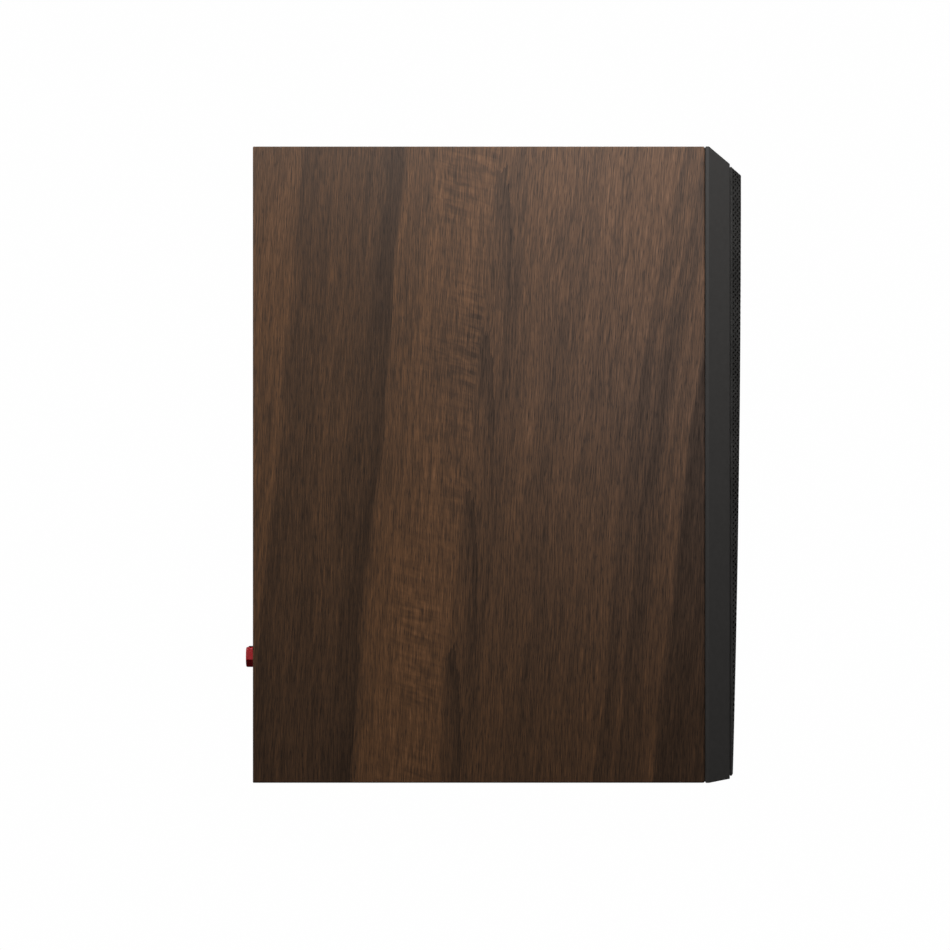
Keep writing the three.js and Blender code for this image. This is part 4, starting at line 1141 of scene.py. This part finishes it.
def add_terminal_cup():
    centre = (0, CUP_Z)
    lip, floor_back = DEPTH + CUP_FLANGE, CUP_FLOOR - CUP_WALL
    tub = [side + 2 * CUP_WALL for side in CUP_POCKET]
    draft = 0.6
    rings = [
        rounded_rect(tub[0] - 2 * draft, tub[1] - 2 * draft, 4, floor_back, centre),
        rounded_rect(*tub, 5, DEPTH, centre), rounded_rect(*CUP_SIZE, 5, DEPTH, centre),
        rounded_rect(*CUP_SIZE, 5, lip - 0.8, centre),
        rounded_rect(CUP_SIZE[0] - 1.2, CUP_SIZE[1] - 1.2, 4.6, lip - 0.2, centre),
        rounded_rect(CUP_SIZE[0] - 2.4, CUP_SIZE[1] - 2.4, 4.2, lip, centre),
        rounded_rect(CUP_POCKET[0] + 1.2, CUP_POCKET[1] + 1.2, 4.6, lip, centre),
        rounded_rect(CUP_POCKET[0] + 0.3, CUP_POCKET[1] + 0.3, 4.2, lip - 0.3, centre),
        rounded_rect(CUP_POCKET[0], CUP_POCKET[1], 4, lip - 1, centre),
        rounded_rect(CUP_POCKET[0] - draft, CUP_POCKET[1] - draft, 3.8, CUP_FLOOR + 0.8, centre),
        rounded_rect(CUP_POCKET[0] - draft - 1.2, CUP_POCKET[1] - draft - 1.2, 3.2, CUP_FLOOR, centre),
    ]
    cup = mesh("terminal_cup_skin", *ring_stack(rings), "plastic", replaces=("terminal_cup",))
    holes = [rod(POST_SHAFT + GAP, floor_back - 1, CUP_FLOOR + 1, side * POST_SPACING / 2, CUP_Z, 32)
             for side in (-1, 1)]
    corners = [(sx * (CUP_SIZE[0] / 2 - 6), CUP_Z + sz * (CUP_SIZE[1] / 2 - 5.5)) for sx in (-1, 1)
               for sz in (-1, 1)]
    sink = [(0, lip - 1.3), (1.6, lip - 1.3), (3, lip + 0.1), (3, lip + 1), (0, lip + 1)]
    sinks = [cutter(*turned_mesh(sink, spot, 32, 0)) for spot in corners]
    carve(cup, holes + sinks, sharp=40)
    for k, spot in enumerate(corners):
        made = turned(f"terminal_cup_screw_{k + 1}", [
            (0, lip - 1.3), (1.55, lip - 1.25), (2.9, lip + 0.02), (2.3, lip + 0.3), (0, lip + 0.5),
        ], "blackened", spot, replaces=(), segments=40, soften=0.1)
        cross = [block((spot[0] - a, lip - 0.7, spot[1] - b), (spot[0] + a, lip + 1, spot[1] + b))
                 for a, b in ((1.5, 0.27), (0.27, 1.5))]
        carve(made, cross)


def add_post(side, colour, key, turn):
    spot = (side * POST_SPACING / 2, CUP_Z)
    collar = CUP_FLOOR + 4
    cap_start, tip = collar + GAP, CAP_END - 3
    threads = [
        (POST_SHAFT - (0.22 if k % 2 else 0), CUP_FLOOR - 12.6 + 0.35 * k) for k in range(1, 27)
    ]
    shaft = turned(f"{colour}_post", [
        (0, CUP_FLOOR - 14), (2.4, CUP_FLOOR - 14), (POST_SHAFT, CUP_FLOOR - 13), *threads,
        (POST_SHAFT, CUP_FLOOR - 2.6), (POST_SHAFT, CUP_FLOOR), (6, CUP_FLOOR), (6, collar),
        (POST_SHAFT, collar), (POST_SHAFT, tip), (POST_SOCKET, tip), (POST_SOCKET, collar + 5.5),
        (0, collar + 5.5),
    ], "gold", spot, segments=64, soften=0.25)
    hole = ring_stack([
        [(spot[0] + 1.4 * cos(tau * k / 24), collar + 2.2 + 1.4 * sin(tau * k / 24), spot[1] + z)
         for k in range(24)] for z in (-10, 10)])
    carve(shaft, [cutter(*hole)])

    nut_front = CUP_FLOOR - CUP_WALL - GAP
    nut = mesh(f"{colour}_post_nut_skin", *ring_stack(
        [hexagon(5, y, *spot, 180 + turn) for y in (nut_front - 3.5, nut_front)]),
        "nickel", replaces=(f"{colour}_post_nut",))
    blank = cutter(*turned_mesh([
        (0, nut_front - 3.5), (4.4, nut_front - 3.5), (5, nut_front - 3.1), (5, nut_front - 0.4),
        (4.4, nut_front), (0, nut_front)], spot, 48, 0))
    carve(nut, [blank], "INTERSECT")
    carve(nut, [rod(POST_SHAFT + GAP, 0, DEPTH, *spot, 40)], bevel=0.08)

    inner = POST_SHAFT + GAP
    turned(f"{colour}_cap_insert", [
        (inner, cap_start + 0.5), (4.1, cap_start + 0.5), (4.1, tip - 1.5), (inner, tip - 1.5),
    ], "gold", spot, f"{colour}_cap_travel", segments=64, soften=0.15)
    cap = mesh(f"{colour}_cap_skin", *ring_stack(
        [hexagon(POST_HEX, y, *spot, 180 + turn) for y in (cap_start, CAP_END)]),
        key, f"{colour}_cap", (f"{colour}_cap",))
    blank = cutter(*turned_mesh([
        (0, cap_start), (POST_HEX - 0.5, cap_start), (POST_HEX, cap_start + 0.8), (POST_HEX, CAP_END - 0.6),
        (POST_HEX - 0.6, CAP_END), (0, CAP_END)], spot, 96, 0))
    carve(cap, [blank], "INTERSECT")
    bores = [rod(4.4, cap_start - 1, tip - 1.2, *spot, 48), rod(inner, tip - 2, tip + GAP, *spot, 48),
             rod(2.6, tip, CAP_END + 1, *spot, 48)]
    carve(cap, bores, bevel=0.22, bevel_angle=28, sharp=45)


# Inside: brace, lining, crossover and cables.

def add_inside():
    half = WIDTH / 2 - BOARD - GAP
    rings = [rect_ring(-half, half, BRACE_LOW, BRACE_HIGH, y) for y in (BRACE_FRONT, BRACE_BACK)]
    brace = mesh("window_brace_skin", *ring_stack(rings), "mdf", replaces=("window_brace",))
    reach, front = WINDOW_WIDTH / 2, (BRACE_FRONT + BRACE_BACK - WINDOW_LENGTH) / 2
    windows = [block((x - reach, front, BRACE_LOW - 1), (x + reach, front + WINDOW_LENGTH, BRACE_HIGH + 1))
               for x in (-WINDOW_MIDDLE, WINDOW_MIDDLE)]
    carve(brace, windows, bevel=0.5)
    add_lining(half, BRACE_HIGH + GAP, HEIGHT - BOARD - GAP)
    add_crossover()


def add_lining(half, foot, top):
    """Felt held against the cabinet's upper walls: a thick U whose inner face is soft and uneven."""
    thick, front, back, rounding = LINING_THICK, LINING_FRONT, LINING_BACK, 2.4

    def arch(reach, roof, radius, steps):
        """A line up one wall, across under the roof and down the other, with round corners."""
        return [(-reach, foot), *arc((-reach + radius, roof - radius), (radius, radius), 180, 90, steps),
                *arc((reach - radius, roof - radius), (radius, radius), 90, 0, steps), (reach, foot)]

    def spread(line, count):
        """The line as evenly spaced points."""
        line = np.array(line)
        lengths = np.concatenate([[0], np.cumsum(np.linalg.norm(np.diff(line, axis=0), axis=1))])
        where = np.linspace(0, lengths[-1], count)
        return np.stack([np.interp(where, lengths, line[:, k]) for k in (0, 1)], axis=1)

    count = 90
    outer = spread(arch(half, top, 1, 3), count)
    inside = spread(arch(half - thick, top - thick, 4, 6), count)
    rng = np.random.default_rng(4)
    depths = np.linspace(front, back, 48)
    grid_y, grid_s = np.meshgrid(depths, np.arange(count), indexing="ij")
    swell = sum(
        rng.uniform(0.1, 0.25) * np.sin(grid_y / rng.uniform(9, 26) + rng.uniform(0, 6)
                                        + grid_s / rng.uniform(3, 9))
        for _ in range(8))
    rings = []
    for i, y in enumerate(depths):
        edge = min(y - front, back - y)
        soft = rounding - (rounding ** 2 - max(rounding - edge, 0) ** 2) ** 0.5 if edge < rounding else 0
        inward = (inside - outer) / thick
        face = inside - inward * (soft + np.abs(swell[i])[:, None])
        rings.append([(x, y, z) for x, z in [*outer, *face[::-1]]])
    lining = mesh("damping_lining_felt", *ring_stack(rings), "felt", replaces=("damping_lining",), sharp=60)


def add_crossover():
    top, underside = CIRCUIT_TOP, CIRCUIT_FOOT
    width, front, back = CIRCUIT_WIDTH, CIRCUIT_FRONT, CIRCUIT_BACK
    add_slab("crossover_board", (width, back - front), 2, (0, (front + back) / 2), (underside, top), "board",
             0.15)
    spots = [(side * (width / 2 - 6), y) for side in (-1, 1) for y in (front + 6, back - 6)]
    for k, spot in enumerate(spots):
        upright(f"crossover_peg_{k + 1}", [(0, BOARD), (3, BOARD), (3, underside), (0, underside)], "plastic",
                spot)
        upright(f"crossover_peg_screw_{k + 1}", [
            (0, top), (2.6, top), (2.6, top + 0.8), (1.6, top + 1.5), (0, top + 1.5),
        ], "blackened", spot)
    seat = top + GAP
    for name, inner, outer, height, spot in (
            ("woofer_inductor", 9, 20, 16, (-24, 136)), ("tweeter_inductor", 6, 13, 11, (30, 128))):
        upright(name, [(inner, seat), (outer, seat), (outer, seat + height), (inner, seat + height)],
                "inductor", spot, (name,), soften=1.2)
    for name, radius, length, spot, key in (
            ("woofer_capacitor", 9, 32, (24, 158), "plastic"),
            ("tweeter_capacitor", 7, 26, (28, 180), "film")):
        lying(name, radius, length, (*spot, seat + radius), key)
    add_slab("tweeter_resistor", (30, 8), 0.8, (-25, 172), (seat, seat + 8), "ceramic", 0.4)
    add_leads("resistor", (-25, 172, seat + 4), 15, 17.5, 18, 2)


def add_slab(name, size, radius, centre, heights, key, bevel):
    """A rounded rectangle that lies flat between two heights."""
    rings = [[(x, y, z) for x, _, y in rounded_rect(*size, radius, 0, centre)] for z in heights]
    carve(mesh(name + "_skin", *ring_stack(rings), key, replaces=(name,)), [], bevel=bevel)


def add_leads(name, centre, start, out, reach, drop):
    """A wire from each end of a component that lies along X: straight out, round a bend, to the board."""
    x, y, z = centre
    section = arc((0, 0), (0.45, 0.45), 0, 330, 11)
    for word, sign in (("", -1), ("_far", 1)):
        route = [(x + sign * start, y, z), (x + sign * out, y, z), (x + sign * reach, y, z - drop),
                 (x + sign * reach, y, CIRCUIT_TOP)]
        mesh(f"{name}_lead{word}", *swept(route, section, (0, 1, 0)), "tinned", sharp=60)


def upright(name, outline, key, spot, replaces=(), soften=0.3):
    """A turned piece that stands on end: its outline is [radius, z]."""
    points, faces = turned_mesh(outline, (0, 0), 64, soften)
    points = [(spot[0] + x, spot[1] + z, y) for x, y, z in points]
    return mesh(name + "_skin", points, faces, key, replaces=replaces)


def lying(name, radius, length, centre, key):
    """A capacitor along X, with crimped ends and a wire lead from each."""
    x, y, z = centre
    half = length / 2
    crimp = [(0, 0.8), (radius - 2.2, 0.8), (radius - 1.4, 0), (radius - 0.5, 0.3), (radius, 1.4)]
    outline = [(r, v - half) for r, v in crimp] + [(r, half - v) for r, v in crimp[::-1]]
    points, faces = turned_mesh(outline, (0, 0), 64, 0.4)
    points = [(x + along, y + across, z + up) for across, along, up in points]
    mesh(name + "_skin", points, faces, key, replaces=(name,))
    add_leads(name, centre, half - 0.9, half + 1.6, half + 2.2, 1.2)


def smooth_route(points, steps):
    """Points spaced along a smooth curve through the given ones."""
    before, after = 2 * np.array(points[0]) - points[1], 2 * np.array(points[-1]) - points[-2]
    knots = np.array([before, *points, after], float)
    route = []
    for i in range(1, len(knots) - 2):
        p0, p1, p2, p3 = knots[i - 1:i + 3]
        for k in range(steps):
            t = k / steps
            route.append(0.5 * (2 * p1 + (p2 - p0) * t + (2 * p0 - 5 * p1 + 4 * p2 - p3) * t ** 2
                                + (3 * p1 - p0 - 3 * p2 + p3) * t ** 3))
    return [*route, knots[-2]]


def swept(route, section, across=(1, 0, 0)):
    """Points and faces of a closed tube: a section of (across, up) points carried along a route.
    across is not along the route's start."""
    across = Vector(across)
    rings = []
    for i, here in enumerate(route):
        ahead = Vector(route[min(i + 1, len(route) - 1)]) - Vector(route[max(i - 1, 0)])
        ahead.normalize()
        across = (across - ahead * across.dot(ahead)).normalized()
        up = ahead.cross(across)
        rings.append([tuple(Vector(here) + across * a + up * b) for a, b in section])
    return ring_stack(rings)


def add_cables():
    """Twin leads: two round cores side by side with a groove between them."""
    core = 1.27
    section = [*arc((core - 0.04, 0), (core, core), -140, 140, 12),
               *arc((-core + 0.04, 0), (core, core), 40, 320, 12)]
    routes = {
        "input_cable": [(0, 204, 52), (0, 200, 44), (0, 197, 34), (0, 187, 26.5)],
        "woofer_cable": [(18, 112, 25), (18, 98, 22), (12, 62, 20), (4, 30, 24), (0, 17, 34)],
        "tweeter_cable": [(-42, 118, 26), (-58, 120, 34), (-66, 124, 70), (-66, 124, 150), (-62, 116, 184),
                          (-56, 84, 212), (-42, 50, 234), (-24, 28, 240)],
    }
    for name, points in routes.items():
        mesh(name + "_skin", *swept(smooth_route(points, 14), section), "jacket", replaces=(name,), sharp=60)


add_cabinet()
add_baffle()
add_grille()
add_woofer()
add_tweeter()
add_port()
add_terminal_cup()
add_post(-1, "red", "red", 12)
add_post(1, "black", "cap_black", 0)
add_inside()
add_cables()


# Camera, light and floor.

def add_camera():
    data = bpy.data.cameras.new("camera")
    data.sensor_width = 36
    data.lens = LENS
    camera = bpy.data.objects.new("camera", data)
    camera.location = CAMERA
    camera.rotation_euler = (radians(90), 0, radians(-90))
    data.clip_start, data.clip_end = 0.01, 50
    bpy.context.scene.collection.objects.link(camera)
    bpy.context.scene.camera = camera


def add_light(name, place, aim, size, power):
    """A soft rectangle of light at place that faces aim. size is (along the floor, across it)."""
    data = bpy.data.lights.new(name, "AREA")
    data.shape = "RECTANGLE"
    data.size, data.size_y = size
    data.energy = power
    light = bpy.data.objects.new(name, data)
    light.location = place
    light.rotation_euler = (Vector(aim) - Vector(place)).to_track_quat("-Z", "Y").to_euler()
    bpy.context.scene.collection.objects.link(light)


def add_world():
    world = bpy.data.worlds.new("studio")
    bpy.context.scene.world = world
    world.use_nodes = True
    tree = world.node_tree
    backdrop = tree.nodes["Background"]
    backdrop.inputs["Strength"].default_value = WHITE
    backdrop.inputs["Color"].default_value = (1, 1, 1, 1)
    fill = tree.nodes.new("ShaderNodeBackground")
    fill.inputs["Color"].default_value = (1, 1, 1, 1)
    fill.inputs["Strength"].default_value = FILL
    seen = tree.nodes.new("ShaderNodeLightPath")
    choose = tree.nodes.new("ShaderNodeMixShader")
    tree.links.new(seen.outputs["Is Camera Ray"], choose.inputs[0])
    tree.links.new(fill.outputs[0], choose.inputs[1])
    tree.links.new(backdrop.outputs[0], choose.inputs[2])
    tree.links.new(choose.outputs[0], tree.nodes["World Output"].inputs["Surface"])


def add_floor():
    """A pale round floor that shows white, like the backdrop."""
    edge = 6000
    points = [(edge * cos(tau * k / 64), edge * sin(tau * k / 64), -0.05) for k in range(64)]
    data = bpy.data.meshes.new("floor")
    data.from_pydata([Vector(p) * MM for p in points], [], [tuple(range(64))])
    floor = bpy.data.objects.new("floor", data)
    bpy.context.scene.collection.objects.link(floor)
    n = Nodes("white_floor")
    speck = n.noise(n.place(), 0.01, 2)
    shade = n.mix(speck, (0.08, 0.08, 0.08), (0.09, 0.09, 0.09))
    data.materials.append(n.finish(base_color=shade, roughness=0.9))
    glow = n.add("Emission", {"Color": (1, 1, 1, 1), "Strength": WHITE})
    seen = n.add("LightPath")
    choose = n.tree.nodes.new("ShaderNodeMixShader")
    n.tree.links.new(seen, choose.inputs[0])
    n.tree.links.new(n.shader.outputs[0], choose.inputs[1])
    n.tree.links.new(glow, choose.inputs[2])
    n.tree.links.new(choose.outputs[0], n.tree.nodes["Material Output"].inputs["Surface"])


add_camera()
add_world()
add_floor()
for side in (-1, 1):
    add_light(f"strip_{side}", (side * 0.47, 0, 0.53), (side * 0.095, 0, 0.2), (0.8, 0.08), STRIP_POWER)
add_light("front", (0.1, -1.2, 1.1), (0, 0, 0.16), (1.2, 0.5), LAMP_POWER)
add_light("back", (-0.2, 1.3, 0.9), (0, 0, 0.16), (1.2, 0.5), LAMP_POWER)
bpy.context.scene.view_settings.view_transform = "Standard"
